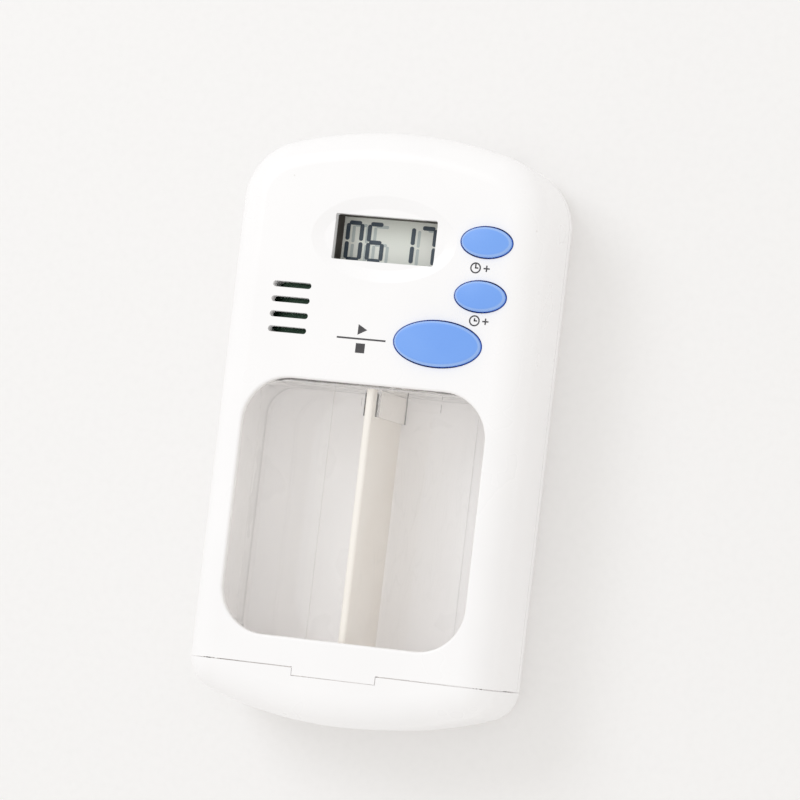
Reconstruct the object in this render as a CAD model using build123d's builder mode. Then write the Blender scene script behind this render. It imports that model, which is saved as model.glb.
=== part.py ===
from build123d import *
import math
import os

os.makedirs("parts", exist_ok=True)

# Pocket pill box with an alarm clock. The box lies on its back: X runs across the front, Y runs from the
# drawer end to the display end, Z comes out of the front face. Millimetres, origin in the middle of the back.

# Driving dimensions of the case
LENGTH = 84.0
WIDTH = 45.0
THICKNESS = 19.0
END_BOW_RADIUS = 57.0
TOP_CORNER_RADIUS = 9.0
BOTTOM_CORNER_RADIUS = 5.0
FRONT_ROUND = 4.5
BACK_ROUND = 3.0
SIDE_WALL = 1.6
FRONT_WALL = 1.6
BACK_WALL = 1.3
CAP_LENGTH = 7.65
PARTING_HEIGHT = 4.0
PARTING_GAP = 0.15
SEAM_GAP = 0.14
LIP_WALL = 0.75
LIP_HEIGHT = 1.0
TONGUE_WIDTH = 12.2
TONGUE_DEPTH = 1.1

# Named clearances
FIT_CLEARANCE = 0.1
RUNNING_CLEARANCE = 0.3
SLIDE_CLEARANCE = 0.15
BUTTON_CLEARANCE = 0.2
SMALL_ROUND = 0.3

# Window over the drawer
WINDOW_TO_SIDE = 4.65
WINDOW_TO_START = 3.37
WINDOW_CORNER = 6.6
WINDOW_TO_SEAM = 4.1
WINDOW_EDGE_ROUND = 0.4
PANE_FLANGE = 0.9
PANE_FLANGE_THICKNESS = 0.75
PANE_RECESS = 0.25
PANE_EDGE_ROUND = 0.35

# Display, its dish in the face and the speaker slots
DISPLAY_TO_TOP = 15.55
DISPLAY_HEIGHT = 6.45
DISH_HEIGHT = 12.2
DISH_TO_MINUTE = 0.65
DISH_BORDER = 3.2
DISH_DEPTH = 0.45
DISH_SLOPE = 1.8
GLASS_SIDE_MARGIN = 1.3
GLASS_END_MARGIN = 1.5
GLASS_THICKNESS = 2.1
GLASS_DROP = 3.3
FRAME_WALL = 0.8
FRAME_SHELF = 0.8
ZEBRA_WIDTH = 1.6
SLOT_LENGTH = 5.7
SLOT_WIDTH = 0.85
SLOT_PITCH = 2.13
SLOT_COUNT = 4
SPEAKER_TO_SIDE = 9.85
SPEAKER_TO_DISPLAY = 10.65
SPEAKER_RING_RADIUS = 5.4
SPEAKER_RING_WALL = 1.0
SPEAKER_RING_HEIGHT = 1.8
PIEZO_PLATE_THICKNESS = 0.25
PIEZO_CERAMIC_RADIUS = 3.6
PIEZO_CERAMIC_THICKNESS = 0.2
LEAD_RADIUS = 0.3
LEAD_BEND = 0.9
LEAD_SHIFT = 3.0

# Buttons: half axes of the oval caps and their places on the face
SMALL_BUTTON_HALF_WIDTH = 3.65
SMALL_BUTTON_HALF_HEIGHT = 2.12
LARGE_BUTTON_HALF_WIDTH = 6.3
LARGE_BUTTON_HALF_HEIGHT = 3.18
MINUTE_TO_SIDE = 7.5
MINUTE_TO_TOP = 14.8
HOUR_TO_SIDE = 7.55
HOUR_TO_MINUTE = 7.6
START_TO_SIDE = 12.95
START_TO_HOUR = 7.1
BUTTON_RISE = 0.9
BUTTON_DOME = 0.45
BUTTON_FLANGE = 0.5
BUTTON_FLANGE_THICKNESS = 1.0
BUTTON_FLANGE_DROP = 0.35
BUTTON_EDGE_ROUND = 0.6
BUTTON_STEM_RADIUS = 1.4
BUTTON_TRAVEL = 0.4
SWITCH_SIZE = 4.5
SWITCH_HEIGHT = 3.3
SWITCH_TOP_RADIUS = 1.35
PLUNGER_RADIUS = 1.2
PLUNGER_LENGTH = 3.0
PLUNGER_RISE = 1.6

# Drawer
TRAY_WALL = 1.1
TRAY_FLOOR = 1.0
TRAY_TOP = 15.4
TRAY_CORNER = 5.5
TRAY_BOTTOM_ROUND = 1.0
TRAY_END_WALL = 1.2
TRAY_END_TO_SEAM = 2.0
TRAY_SKIRT = 1.1
TRAY_SHORT_OF_WINDOW = 0.35
DIVIDER_THICKNESS = 1.1
DIVIDER_TOP_CLEARANCE = 0.3
DIVIDER_FIT = 0.02
DIVIDER_RIB = 0.6
DIVIDER_RIB_LENGTH = 3.8
RUNNER_TO_SIDE = 11.5
RUNNER_WIDTH = 1.4
RUNNER_CLEARANCE = 0.05
STOP_WIDTH = 12.0
STOP_LENGTH = 1.2
STOP_TO_REAR = 1.55
CAP_RIB_TO_SIDE = 13.5
CAP_RIB_THICKNESS = 1.2
BULKHEAD_THICKNESS = 1.2

# Circuit board, screws and posts
BOARD_HEIGHT = 8.9
BOARD_THICKNESS = 1.2
BOARD_CLEARANCE = 0.6
BOARD_TO_BULKHEAD = 0.5
BOARD_TO_TOP = 3.4
TOP_SCREW_TO_DOOR = 3.6
TOP_SCREW_TO_TOP = 9.0
LOW_SCREW_X = -2.6
LOW_SCREW_TO_BULKHEAD = 3.1
POST_RADIUS = 2.6
POST_NECK_RADIUS = 2.1
BOSS_RADIUS = 2.7
BOSS_TOP = 5.0
CASE_SCREW_RADIUS = 1.0
CASE_SCREW_LENGTH = 8.0
CASE_SCREW_HEAD_RADIUS = 1.9
CASE_SCREW_HEAD = 1.4
CASE_SCREW_SINK = 1.2
CASE_SCREW_CROSS = 2.2
CROSS_WIDTH = 0.5
CROSS_DEPTH = 0.7
BOARD_SCREW_TO_SIDE = 3.9
LEFT_BOARD_SCREW_TO_TOP = 15.0
RIGHT_BOARD_SCREW_TO_BULKHEAD = 2.3
BOARD_SCREW_RADIUS = 0.8
BOARD_SCREW_LENGTH = 5.0
BOARD_SCREW_HEAD_RADIUS = 1.5
BOARD_SCREW_HEAD = 1.1
BOARD_SCREW_CROSS = 1.8
BOARD_POST_RADIUS = 2.0
CHIP_X = -2.0
CHIP_RADIUS = 2.6
CHIP_HEIGHT = 1.2
CRYSTAL_X = 6.0
CRYSTAL_RADIUS = 1.0
CRYSTAL_LENGTH = 6.0
CRYSTAL_ROUND = 0.25
TOP_ROW_TO_TOP = 6.4

# Battery well and its sliding door
CELL_RADIUS = 5.8
CELL_HEIGHT = 5.4
CELL_STEP = 0.4
CELL_STEP_WALL = 0.8
CELL_SPACING = 12.1
CELL_TO_TOP = 11.5
CELL_BASE = 1.9
WELL_CLEARANCE = 0.3
WELL_WALL = 1.0
WELL_TOP = 8.3
DOOR_WIDTH = 24.0
DOOR_TONGUE = 1.0
DOOR_RECESS = 0.1
DOOR_THICKNESS = 1.3
DOOR_LEDGE = 0.75
DOOR_LIP = 1.5
DOOR_GROOVES = 5
DOOR_GROOVE_PITCH = 1.3
DOOR_GROOVE_WIDTH = 0.6
DOOR_GROOVE_DEPTH = 0.4
DOOR_GROOVE_LENGTH = 11.0
BRIDGE_LENGTH = 18.0
BRIDGE_WIDTH = 5.0
BRIDGE_CORNER = 1.25
CONTACT_SHEET = 0.25
CONTACT_WIDTH = 4.0
CONTACT_REACH = 7.0

# Heights and places worked out from the driving dimensions
BOTTOM_Y = -LENGTH / 2
TOP_Y = LENGTH / 2
SEAM_Y = BOTTOM_Y + CAP_LENGTH
FRONT_INNER = THICKNESS - FRONT_WALL
INNER_HALF_WIDTH = WIDTH / 2 - SIDE_WALL
MINUTE_X = WIDTH / 2 - MINUTE_TO_SIDE
MINUTE_Y = TOP_Y - MINUTE_TO_TOP
HOUR_X = WIDTH / 2 - HOUR_TO_SIDE
HOUR_Y = MINUTE_Y - HOUR_TO_MINUTE
START_X = WIDTH / 2 - START_TO_SIDE
START_Y = HOUR_Y - START_TO_HOUR
WINDOW_LOW_Y = SEAM_Y + WINDOW_TO_SEAM
WINDOW_HIGH_Y = START_Y - LARGE_BUTTON_HALF_HEIGHT - WINDOW_TO_START
WINDOW_WIDTH = WIDTH - 2 * WINDOW_TO_SIDE
WINDOW_LENGTH = WINDOW_HIGH_Y - WINDOW_LOW_Y
WINDOW_Y = (WINDOW_LOW_Y + WINDOW_HIGH_Y) / 2
DISPLAY_Y = TOP_Y - DISPLAY_TO_TOP
DISH_WIDTH = 2 * (MINUTE_X - SMALL_BUTTON_HALF_WIDTH - DISH_TO_MINUTE)
DISPLAY_WIDTH = DISH_WIDTH - 2 * DISH_BORDER
GLASS_WIDTH = DISPLAY_WIDTH + 2 * GLASS_SIDE_MARGIN
GLASS_HEIGHT = DISPLAY_HEIGHT + 2 * GLASS_END_MARGIN
SPEAKER_X = SPEAKER_TO_SIDE - WIDTH / 2
SPEAKER_Y = DISPLAY_Y - SPEAKER_TO_DISPLAY
TRAY_HALF_WIDTH = INNER_HALF_WIDTH - RUNNING_CLEARANCE
TRAY_BASE = BACK_WALL + RUNNING_CLEARANCE
TRAY_FLOOR_TOP = TRAY_BASE + TRAY_FLOOR
TRAY_FRONT_INNER_Y = SEAM_Y + TRAY_END_TO_SEAM
TRAY_REAR_INNER_Y = WINDOW_HIGH_Y - TRAY_SHORT_OF_WINDOW
COMPARTMENT_LENGTH = TRAY_REAR_INNER_Y - TRAY_FRONT_INNER_Y
TRAY_REAR_Y = TRAY_REAR_INNER_Y + TRAY_END_WALL
TRAY_FRONT_Y = SEAM_Y - TRAY_SKIRT
RUNNER_X = WIDTH / 2 - RUNNER_TO_SIDE
CAP_RIB_X = WIDTH / 2 - CAP_RIB_TO_SIDE
BULKHEAD_Y = TRAY_REAR_Y + RUNNING_CLEARANCE
BULKHEAD_REAR_Y = BULKHEAD_Y + BULKHEAD_THICKNESS
BOARD_TOP = BOARD_HEIGHT + BOARD_THICKNESS
GLASS_TOP = FRONT_INNER - GLASS_DROP
GLASS_BASE = GLASS_TOP - GLASS_THICKNESS
SWITCH_TOP = BOARD_TOP + SWITCH_HEIGHT
PLUNGER_TOP = SWITCH_TOP + PLUNGER_RISE
SPEAKER_RING_BASE = FRONT_INNER - SPEAKER_RING_HEIGHT
CERAMIC_BASE = SPEAKER_RING_BASE - PIEZO_PLATE_THICKNESS - PIEZO_CERAMIC_THICKNESS
LEAD_DROP = CERAMIC_BASE - BOARD_TOP
CELL_Y = TOP_Y - CELL_TO_TOP
WELL_HALF_WIDTH = DOOR_WIDTH / 2 + DOOR_TONGUE + WELL_CLEARANCE
WELL_HALF_LENGTH = CELL_RADIUS + WELL_CLEARANCE
DOOR_TOP = DOOR_RECESS + DOOR_THICKNESS
DOOR_LOW_Y = CELL_Y - WELL_HALF_LENGTH
TOP_ROW_Y = TOP_Y - TOP_ROW_TO_TOP
TOP_SCREW_X = DOOR_WIDTH / 2 + DOOR_TONGUE + TOP_SCREW_TO_DOOR
TOP_SCREW_Y = TOP_Y - TOP_SCREW_TO_TOP
BOARD_SCREW_X = WIDTH / 2 - BOARD_SCREW_TO_SIDE
POST_HOLE_RADIUS = POST_NECK_RADIUS + SLIDE_CLEARANCE
PARTING_TOP = PARTING_HEIGHT + PARTING_GAP / 2
PARTING_BOTTOM = PARTING_HEIGHT - PARTING_GAP / 2
TINY = 0.001

CASE_SCREWS = [
    (TOP_SCREW_X, TOP_SCREW_Y),
    (-TOP_SCREW_X, TOP_SCREW_Y),
    (LOW_SCREW_X, BULKHEAD_REAR_Y + LOW_SCREW_TO_BULKHEAD),
]
BOARD_SCREWS = [
    (-BOARD_SCREW_X, TOP_Y - LEFT_BOARD_SCREW_TO_TOP),
    (BOARD_SCREW_X, BULKHEAD_REAR_Y + RIGHT_BOARD_SCREW_TO_BULKHEAD),
]

# Name, place and half axes of each button
BUTTONS = {
    "minute": (MINUTE_X, MINUTE_Y, SMALL_BUTTON_HALF_WIDTH, SMALL_BUTTON_HALF_HEIGHT),
    "hour": (HOUR_X, HOUR_Y, SMALL_BUTTON_HALF_WIDTH, SMALL_BUTTON_HALF_HEIGHT),
    "start_stop": (START_X, START_Y, LARGE_BUTTON_HALF_WIDTH, LARGE_BUTTON_HALF_HEIGHT),
}


def plan_face(inset):
    """Plan outline of the case moved inwards by inset: straight sides, bowed ends, rounded corners."""
    half = WIDTH / 2 - inset
    bow = END_BOW_RADIUS - inset
    reach = math.sqrt(bow**2 - half**2)
    low_centre = BOTTOM_Y + END_BOW_RADIUS
    high_centre = TOP_Y - END_BOW_RADIUS
    with BuildSketch() as face:
        with BuildLine():
            Line((half, low_centre - reach), (half, high_centre + reach))
            ThreePointArc((half, high_centre + reach), (0, high_centre + bow), (-half, high_centre + reach))
            Line((-half, high_centre + reach), (-half, low_centre - reach))
            ThreePointArc((-half, low_centre - reach), (0, low_centre - bow), (half, low_centre - reach))
        make_face()
        fillet(face.vertices().group_by(Axis.Y)[-1], TOP_CORNER_RADIUS - inset)
        fillet(face.vertices().group_by(Axis.Y)[0], BOTTOM_CORNER_RADIUS - inset)
    return face.sketch


# Form of the whole case, and the hollow inside it
with BuildPart() as case_form:
    with BuildSketch(Plane.XY):
        add(plan_face(0))
    extrude(amount=THICKNESS)
    fillet(case_form.faces().sort_by(Axis.Z)[-1].edges(), FRONT_ROUND)
    fillet(case_form.faces().sort_by(Axis.Z)[0].edges(), BACK_ROUND)

with BuildPart() as hollow_form:
    with BuildSketch(Plane.XY.offset(BACK_WALL)):
        add(plan_face(SIDE_WALL))
    extrude(amount=FRONT_INNER - BACK_WALL)
    fillet(hollow_form.faces().sort_by(Axis.Z)[-1].edges(), FRONT_ROUND - SIDE_WALL)
    fillet(hollow_form.faces().sort_by(Axis.Z)[0].edges(), BACK_ROUND - SIDE_WALL)

HOUSING_END = Plane(origin=(0, SEAM_Y + SEAM_GAP / 2, 0), z_dir=(0, 1, 0))
CAP_END = Plane(origin=(0, SEAM_Y - SEAM_GAP / 2, 0), z_dir=(0, 1, 0))

# Front shell: face with window, dish, slots and button holes, the bulkhead, posts and speaker ring
with BuildPart() as front_shell:
    add(case_form.part)
    add(hollow_form.part, mode=Mode.SUBTRACT)
    split(bisect_by=Plane.XY.offset(PARTING_TOP), keep=Keep.TOP)
    split(bisect_by=HOUSING_END, keep=Keep.TOP)
    with BuildSketch(Plane.XY.offset(PARTING_TOP)):
        add(plan_face(LIP_WALL))
    extrude(amount=LIP_HEIGHT + FIT_CLEARANCE, mode=Mode.SUBTRACT)
    # Tongue in the middle of the end, over the cap
    with BuildSketch(Plane.XY.offset(FRONT_INNER)):
        with Locations((0, SEAM_Y)):
            Rectangle(TONGUE_WIDTH, 2 * TONGUE_DEPTH)
    extrude(amount=FRONT_WALL)
    # Bulkhead between the drawer and the clock
    with BuildSketch(Plane.XY.offset(PARTING_TOP + LIP_HEIGHT)):
        with Locations((0, BULKHEAD_Y)):
            Rectangle(2 * INNER_HALF_WIDTH + LIP_WALL, BULKHEAD_THICKNESS, align=(Align.CENTER, Align.MIN))
    extrude(amount=FRONT_INNER - PARTING_TOP - LIP_HEIGHT)
    with BuildSketch(Plane.XY.offset(TRAY_BASE)):
        with Locations((0, BULKHEAD_Y)):
            Rectangle(2 * TRAY_HALF_WIDTH - 2 * LIP_WALL, BULKHEAD_THICKNESS, align=(Align.CENTER, Align.MIN))
    extrude(amount=PARTING_TOP + LIP_HEIGHT - TRAY_BASE + TINY)
    # Screw posts, with a shoulder that the circuit board rests against
    with BuildSketch(Plane.XY.offset(BOARD_TOP)):
        with Locations(*CASE_SCREWS):
            Circle(POST_RADIUS)
        with Locations(*BOARD_SCREWS):
            Circle(BOARD_POST_RADIUS)
    extrude(amount=FRONT_INNER - BOARD_TOP + TINY)
    with BuildSketch(Plane.XY.offset(BOSS_TOP)):
        with Locations(*CASE_SCREWS):
            Circle(POST_NECK_RADIUS)
    extrude(amount=BOARD_TOP - BOSS_TOP + TINY)
    with BuildSketch(Plane.XY.offset(BOSS_TOP)):
        with Locations(*CASE_SCREWS):
            Circle(CASE_SCREW_RADIUS + FIT_CLEARANCE / 2)
    extrude(amount=CASE_SCREW_LENGTH, mode=Mode.SUBTRACT)
    with BuildSketch(Plane.XY.offset(BOARD_TOP)):
        with Locations(*BOARD_SCREWS):
            Circle(BOARD_SCREW_RADIUS + FIT_CLEARANCE / 2)
    extrude(amount=BOARD_SCREW_LENGTH, mode=Mode.SUBTRACT)
    # Ring that holds the buzzer behind the slots
    with BuildSketch(Plane.XY.offset(SPEAKER_RING_BASE)):
        with Locations((SPEAKER_X, SPEAKER_Y)):
            Circle(SPEAKER_RING_RADIUS)
            Circle(SPEAKER_RING_RADIUS - SPEAKER_RING_WALL, mode=Mode.SUBTRACT)
    extrude(amount=SPEAKER_RING_HEIGHT + TINY)
    with BuildSketch(Plane.XY.offset(FRONT_INNER)):
        with Locations((SPEAKER_X, SPEAKER_Y)):
            with GridLocations(0, SLOT_PITCH, 1, SLOT_COUNT):
                SlotOverall(SLOT_LENGTH, SLOT_WIDTH)
    extrude(amount=FRONT_WALL, mode=Mode.SUBTRACT)
    # Window and the rebate for the pane
    with BuildSketch(Plane.XY.offset(FRONT_INNER)):
        with Locations((0, WINDOW_Y)):
            RectangleRounded(WINDOW_WIDTH, WINDOW_LENGTH, WINDOW_CORNER)
    extrude(amount=FRONT_WALL, mode=Mode.SUBTRACT)
    fillet(
        front_shell.edges()
        .filter_by_position(Axis.Z, THICKNESS - TINY, THICKNESS + TINY)
        .filter_by_position(Axis.X, -WINDOW_WIDTH / 2 - TINY, WINDOW_WIDTH / 2 + TINY)
        .filter_by_position(Axis.Y, WINDOW_LOW_Y - TINY, WINDOW_HIGH_Y + TINY),
        WINDOW_EDGE_ROUND,
    )
    with BuildSketch(Plane.XY.offset(FRONT_INNER - PANE_FLANGE)):
        with Locations((0, WINDOW_Y)):
            RectangleRounded(
                WINDOW_WIDTH + 2 * PANE_FLANGE + FIT_CLEARANCE,
                WINDOW_LENGTH + 2 * PANE_FLANGE + FIT_CLEARANCE,
                WINDOW_CORNER + PANE_FLANGE,
            )
    extrude(amount=PANE_FLANGE + PANE_FLANGE_THICKNESS, mode=Mode.SUBTRACT)
    # Oval dish round the display, and the display opening
    with BuildSketch(Plane.XY.offset(THICKNESS)):
        with Locations((0, DISPLAY_Y)):
            Ellipse(DISH_WIDTH / 2, DISH_HEIGHT / 2)
    with BuildSketch(Plane.XY.offset(THICKNESS - DISH_DEPTH)):
        with Locations((0, DISPLAY_Y)):
            Ellipse(DISH_WIDTH / 2 - DISH_SLOPE, DISH_HEIGHT / 2 - DISH_SLOPE)
    loft(mode=Mode.SUBTRACT)
    with BuildSketch(Plane.XY.offset(FRONT_INNER)):
        with Locations((0, DISPLAY_Y)):
            RectangleRounded(DISPLAY_WIDTH, DISPLAY_HEIGHT, SMALL_ROUND)
    extrude(amount=FRONT_WALL, mode=Mode.SUBTRACT)
    # Button holes
    for x, y, half_width, half_height in BUTTONS.values():
        with BuildSketch(Plane.XY.offset(FRONT_INNER - FRONT_WALL)):
            with Locations((x, y)):
                Ellipse(half_width + BUTTON_CLEARANCE, half_height + BUTTON_CLEARANCE)
        extrude(amount=2 * FRONT_WALL, mode=Mode.SUBTRACT)
front_shell.part.label = "front_shell"
export_step(front_shell.part, "parts/front_shell.step")

# Back shell: shallow cover with the alignment lip, screw bosses, drawer runners and the battery well
with BuildPart() as back_shell:
    add(case_form.part)
    add(hollow_form.part, mode=Mode.SUBTRACT)
    split(bisect_by=Plane.XY.offset(PARTING_BOTTOM), keep=Keep.BOTTOM)
    split(bisect_by=HOUSING_END, keep=Keep.TOP)
    with BuildSketch(Plane.XY.offset(PARTING_BOTTOM - LIP_HEIGHT)):
        add(plan_face(LIP_WALL + FIT_CLEARANCE))
        add(plan_face(SIDE_WALL), mode=Mode.SUBTRACT)
        with Locations((0, HOUSING_END.origin.Y)):
            Rectangle(2 * WIDTH, LENGTH, align=(Align.CENTER, Align.MAX), mode=Mode.SUBTRACT)
    extrude(amount=2 * LIP_HEIGHT + PARTING_GAP / 2)
    # Runners under the drawer and the stop rib between them
    runner_height = RUNNING_CLEARANCE - RUNNER_CLEARANCE
    with BuildSketch(Plane.XY.offset(BACK_WALL - TINY)):
        with Locations((-RUNNER_X, HOUSING_END.origin.Y), (RUNNER_X, HOUSING_END.origin.Y)):
            Rectangle(RUNNER_WIDTH, TRAY_REAR_Y - SEAM_Y, align=(Align.CENTER, Align.MIN))
        with Locations((0, TRAY_FRONT_INNER_Y)):
            Rectangle(STOP_WIDTH, STOP_LENGTH, align=(Align.CENTER, Align.MIN))
    extrude(amount=runner_height + TINY)
    # Screw bosses and the walls of the battery well
    with BuildSketch(Plane.XY.offset(BACK_WALL - TINY)):
        with Locations(*CASE_SCREWS):
            Circle(BOSS_RADIUS)
    extrude(amount=BOSS_TOP - BACK_WALL + TINY)
    with BuildSketch(Plane.XY.offset(BACK_WALL - TINY)):
        with Locations((0, CELL_Y)):
            Rectangle(2 * (WELL_HALF_WIDTH + WELL_WALL), 2 * (WELL_HALF_LENGTH + WELL_WALL))
            Rectangle(2 * WELL_HALF_WIDTH, 2 * WELL_HALF_LENGTH, mode=Mode.SUBTRACT)
    extrude(amount=WELL_TOP - BACK_WALL + TINY)
    # Opening for the battery door, stepped at the sides so that the door's tongues slide on ledges
    with BuildSketch(Plane.XY):
        with Locations((0, DOOR_LOW_Y)):
            Rectangle(DOOR_WIDTH + 2 * SLIDE_CLEARANCE, LENGTH, align=(Align.CENTER, Align.MIN))
    extrude(amount=DOOR_LEDGE, mode=Mode.SUBTRACT)
    with BuildSketch(Plane.XY.offset(DOOR_LEDGE)):
        with Locations((0, DOOR_LOW_Y)):
            Rectangle(
                DOOR_WIDTH + 2 * DOOR_TONGUE + 2 * SLIDE_CLEARANCE, LENGTH, align=(Align.CENTER, Align.MIN)
            )
    extrude(amount=CELL_BASE + FIT_CLEARANCE - DOOR_LEDGE, mode=Mode.SUBTRACT)
    with BuildSketch(Plane.XY):
        with Locations((0, TOP_Y - SIDE_WALL - SLIDE_CLEARANCE)):
            Rectangle(
                DOOR_WIDTH + 2 * DOOR_TONGUE + 2 * SLIDE_CLEARANCE, LENGTH, align=(Align.CENTER, Align.MIN)
            )
    extrude(amount=PARTING_TOP + LIP_HEIGHT, mode=Mode.SUBTRACT)
    with Locations(*[(x, y, 0) for x, y in CASE_SCREWS]):
        Cylinder(
            CASE_SCREW_RADIUS + SLIDE_CLEARANCE,
            BOSS_TOP,
            align=(Align.CENTER, Align.CENTER, Align.MIN),
            mode=Mode.SUBTRACT,
        )
        Cylinder(
            CASE_SCREW_HEAD_RADIUS + SLIDE_CLEARANCE,
            CASE_SCREW_SINK + CASE_SCREW_HEAD,
            align=(Align.CENTER, Align.CENTER, Align.MIN),
            mode=Mode.SUBTRACT,
        )
back_shell.part.label = "back_shell"
export_step(back_shell.part, "parts/back_shell.step")

# Clear pane, glued into the rebate behind the window
with BuildPart() as window_pane:
    with BuildSketch(Plane.XY.offset(FRONT_INNER)):
        with Locations((0, WINDOW_Y)):
            RectangleRounded(
                WINDOW_WIDTH + 2 * PANE_FLANGE, WINDOW_LENGTH + 2 * PANE_FLANGE, WINDOW_CORNER + PANE_FLANGE
            )
    extrude(amount=PANE_FLANGE_THICKNESS - FIT_CLEARANCE / 2)
    with BuildSketch(Plane.XY.offset(FRONT_INNER)):
        with Locations((0, WINDOW_Y)):
            RectangleRounded(
                WINDOW_WIDTH - 2 * FIT_CLEARANCE,
                WINDOW_LENGTH - 2 * FIT_CLEARANCE,
                WINDOW_CORNER - FIT_CLEARANCE,
            )
    extrude(amount=FRONT_WALL - PANE_RECESS)
    fillet(window_pane.faces().sort_by(Axis.Z)[-1].edges(), PANE_EDGE_ROUND)
window_pane.part.label = "window_pane"
export_step(window_pane.part, "parts/window_pane.step")

# Liquid crystal display glass
with BuildPart() as lcd_glass:
    with BuildSketch(Plane.XY.offset(GLASS_BASE)):
        with Locations((0, DISPLAY_Y)):
            Rectangle(GLASS_WIDTH, GLASS_HEIGHT)
    extrude(amount=GLASS_THICKNESS)
lcd_glass.part.label = "lcd_glass"
export_step(lcd_glass.part, "parts/lcd_glass.step")

# Frame round the glass, with a dark collar up to the front wall and a rib under the high edge of the glass
with BuildPart() as lcd_frame:
    frame_width = GLASS_WIDTH + 2 * (FRAME_WALL + FIT_CLEARANCE)
    frame_height = GLASS_HEIGHT + 2 * (FRAME_WALL + FIT_CLEARANCE)
    with BuildSketch(Plane.XY.offset(BOARD_TOP)):
        with Locations((0, DISPLAY_Y)):
            Rectangle(frame_width, frame_height)
            Rectangle(GLASS_WIDTH + 2 * FIT_CLEARANCE, GLASS_HEIGHT + 2 * FIT_CLEARANCE, mode=Mode.SUBTRACT)
    extrude(amount=GLASS_TOP + FIT_CLEARANCE - BOARD_TOP)
    with BuildSketch(Plane.XY.offset(GLASS_TOP + FIT_CLEARANCE)):
        with Locations((0, DISPLAY_Y)):
            Rectangle(frame_width, frame_height)
            Rectangle(
                DISPLAY_WIDTH + 2 * FIT_CLEARANCE, DISPLAY_HEIGHT + 2 * FIT_CLEARANCE, mode=Mode.SUBTRACT
            )
    extrude(amount=FRONT_INNER - GLASS_TOP - 2 * FIT_CLEARANCE)
    with BuildSketch(Plane.XY.offset(BOARD_TOP)):
        with Locations((0, DISPLAY_Y + GLASS_HEIGHT / 2 + FIT_CLEARANCE)):
            Rectangle(frame_width - FRAME_WALL, FRAME_SHELF, align=(Align.CENTER, Align.MAX))
    extrude(amount=GLASS_BASE - BOARD_TOP)
lcd_frame.part.label = "lcd_frame"
export_step(lcd_frame.part, "parts/lcd_frame.step")

# Striped rubber strip that joins the glass to the board
with BuildPart() as zebra_strip:
    with BuildSketch(Plane.XY.offset(BOARD_TOP)):
        with Locations((0, DISPLAY_Y - GLASS_HEIGHT / 2 + FIT_CLEARANCE)):
            Rectangle(GLASS_WIDTH - 3 * FRAME_SHELF, ZEBRA_WIDTH, align=(Align.CENTER, Align.MIN))
    extrude(amount=GLASS_BASE - BOARD_TOP)
zebra_strip.part.label = "zebra_strip"
export_step(zebra_strip.part, "parts/zebra_strip.step")

# Circuit board, cut to the inside of the case, short of the top posts, with a hole for the low post
with BuildPart() as circuit_board:
    with BuildSketch(Plane.XY.offset(BOARD_HEIGHT)):
        add(plan_face(SIDE_WALL + BOARD_CLEARANCE))
        with Locations((0, BULKHEAD_REAR_Y + BOARD_TO_BULKHEAD)):
            Rectangle(2 * WIDTH, LENGTH, align=(Align.CENTER, Align.MAX), mode=Mode.SUBTRACT)
        with Locations((0, TOP_Y - BOARD_TO_TOP)):
            Rectangle(2 * WIDTH, LENGTH, align=(Align.CENTER, Align.MIN), mode=Mode.SUBTRACT)
        with Locations((TOP_SCREW_X - POST_HOLE_RADIUS, TOP_SCREW_Y - POST_HOLE_RADIUS)):
            Rectangle(WIDTH, LENGTH, align=(Align.MIN, Align.MIN), mode=Mode.SUBTRACT)
        with Locations((POST_HOLE_RADIUS - TOP_SCREW_X, TOP_SCREW_Y - POST_HOLE_RADIUS)):
            Rectangle(WIDTH, LENGTH, align=(Align.MAX, Align.MIN), mode=Mode.SUBTRACT)
        with Locations(CASE_SCREWS[-1]):
            Circle(POST_HOLE_RADIUS, mode=Mode.SUBTRACT)
        with Locations(*BOARD_SCREWS):
            Circle(BOARD_SCREW_RADIUS + FIT_CLEARANCE, mode=Mode.SUBTRACT)
    extrude(amount=BOARD_THICKNESS)
circuit_board.part.label = "circuit_board"
export_step(circuit_board.part, "parts/circuit_board.step")

# Resin drop over the clock chip: a ball cut by the board
with BuildPart() as clock_chip:
    chip_ball_radius = (CHIP_RADIUS**2 + CHIP_HEIGHT**2) / (2 * CHIP_HEIGHT)
    with Locations((CHIP_X, TOP_ROW_Y, BOARD_TOP + CHIP_HEIGHT - chip_ball_radius)):
        Sphere(chip_ball_radius)
    split(bisect_by=Plane.XY.offset(BOARD_TOP), keep=Keep.TOP)
clock_chip.part.label = "clock_chip"
export_step(clock_chip.part, "parts/clock_chip.step")

# Quartz crystal in its can, lying on the board
with BuildPart() as crystal_can:
    with Locations((CRYSTAL_X, TOP_ROW_Y, BOARD_TOP + CRYSTAL_RADIUS)):
        Cylinder(CRYSTAL_RADIUS, CRYSTAL_LENGTH, rotation=(0, 90, 0))
    fillet(crystal_can.edges().filter_by(GeomType.CIRCLE), CRYSTAL_ROUND)
crystal_can.part.label = "crystal_can"
export_step(crystal_can.part, "parts/crystal_can.step")

# Buzzer: brass plate on the ring, ceramic disc behind it, and the two leads down to the board
with BuildPart() as buzzer_plate:
    with BuildSketch(Plane.XY.offset(SPEAKER_RING_BASE - PIEZO_PLATE_THICKNESS)):
        with Locations((SPEAKER_X, SPEAKER_Y)):
            Circle(SPEAKER_RING_RADIUS - FIT_CLEARANCE)
    extrude(amount=PIEZO_PLATE_THICKNESS)
buzzer_plate.part.label = "buzzer_plate"
export_step(buzzer_plate.part, "parts/buzzer_plate.step")

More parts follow.
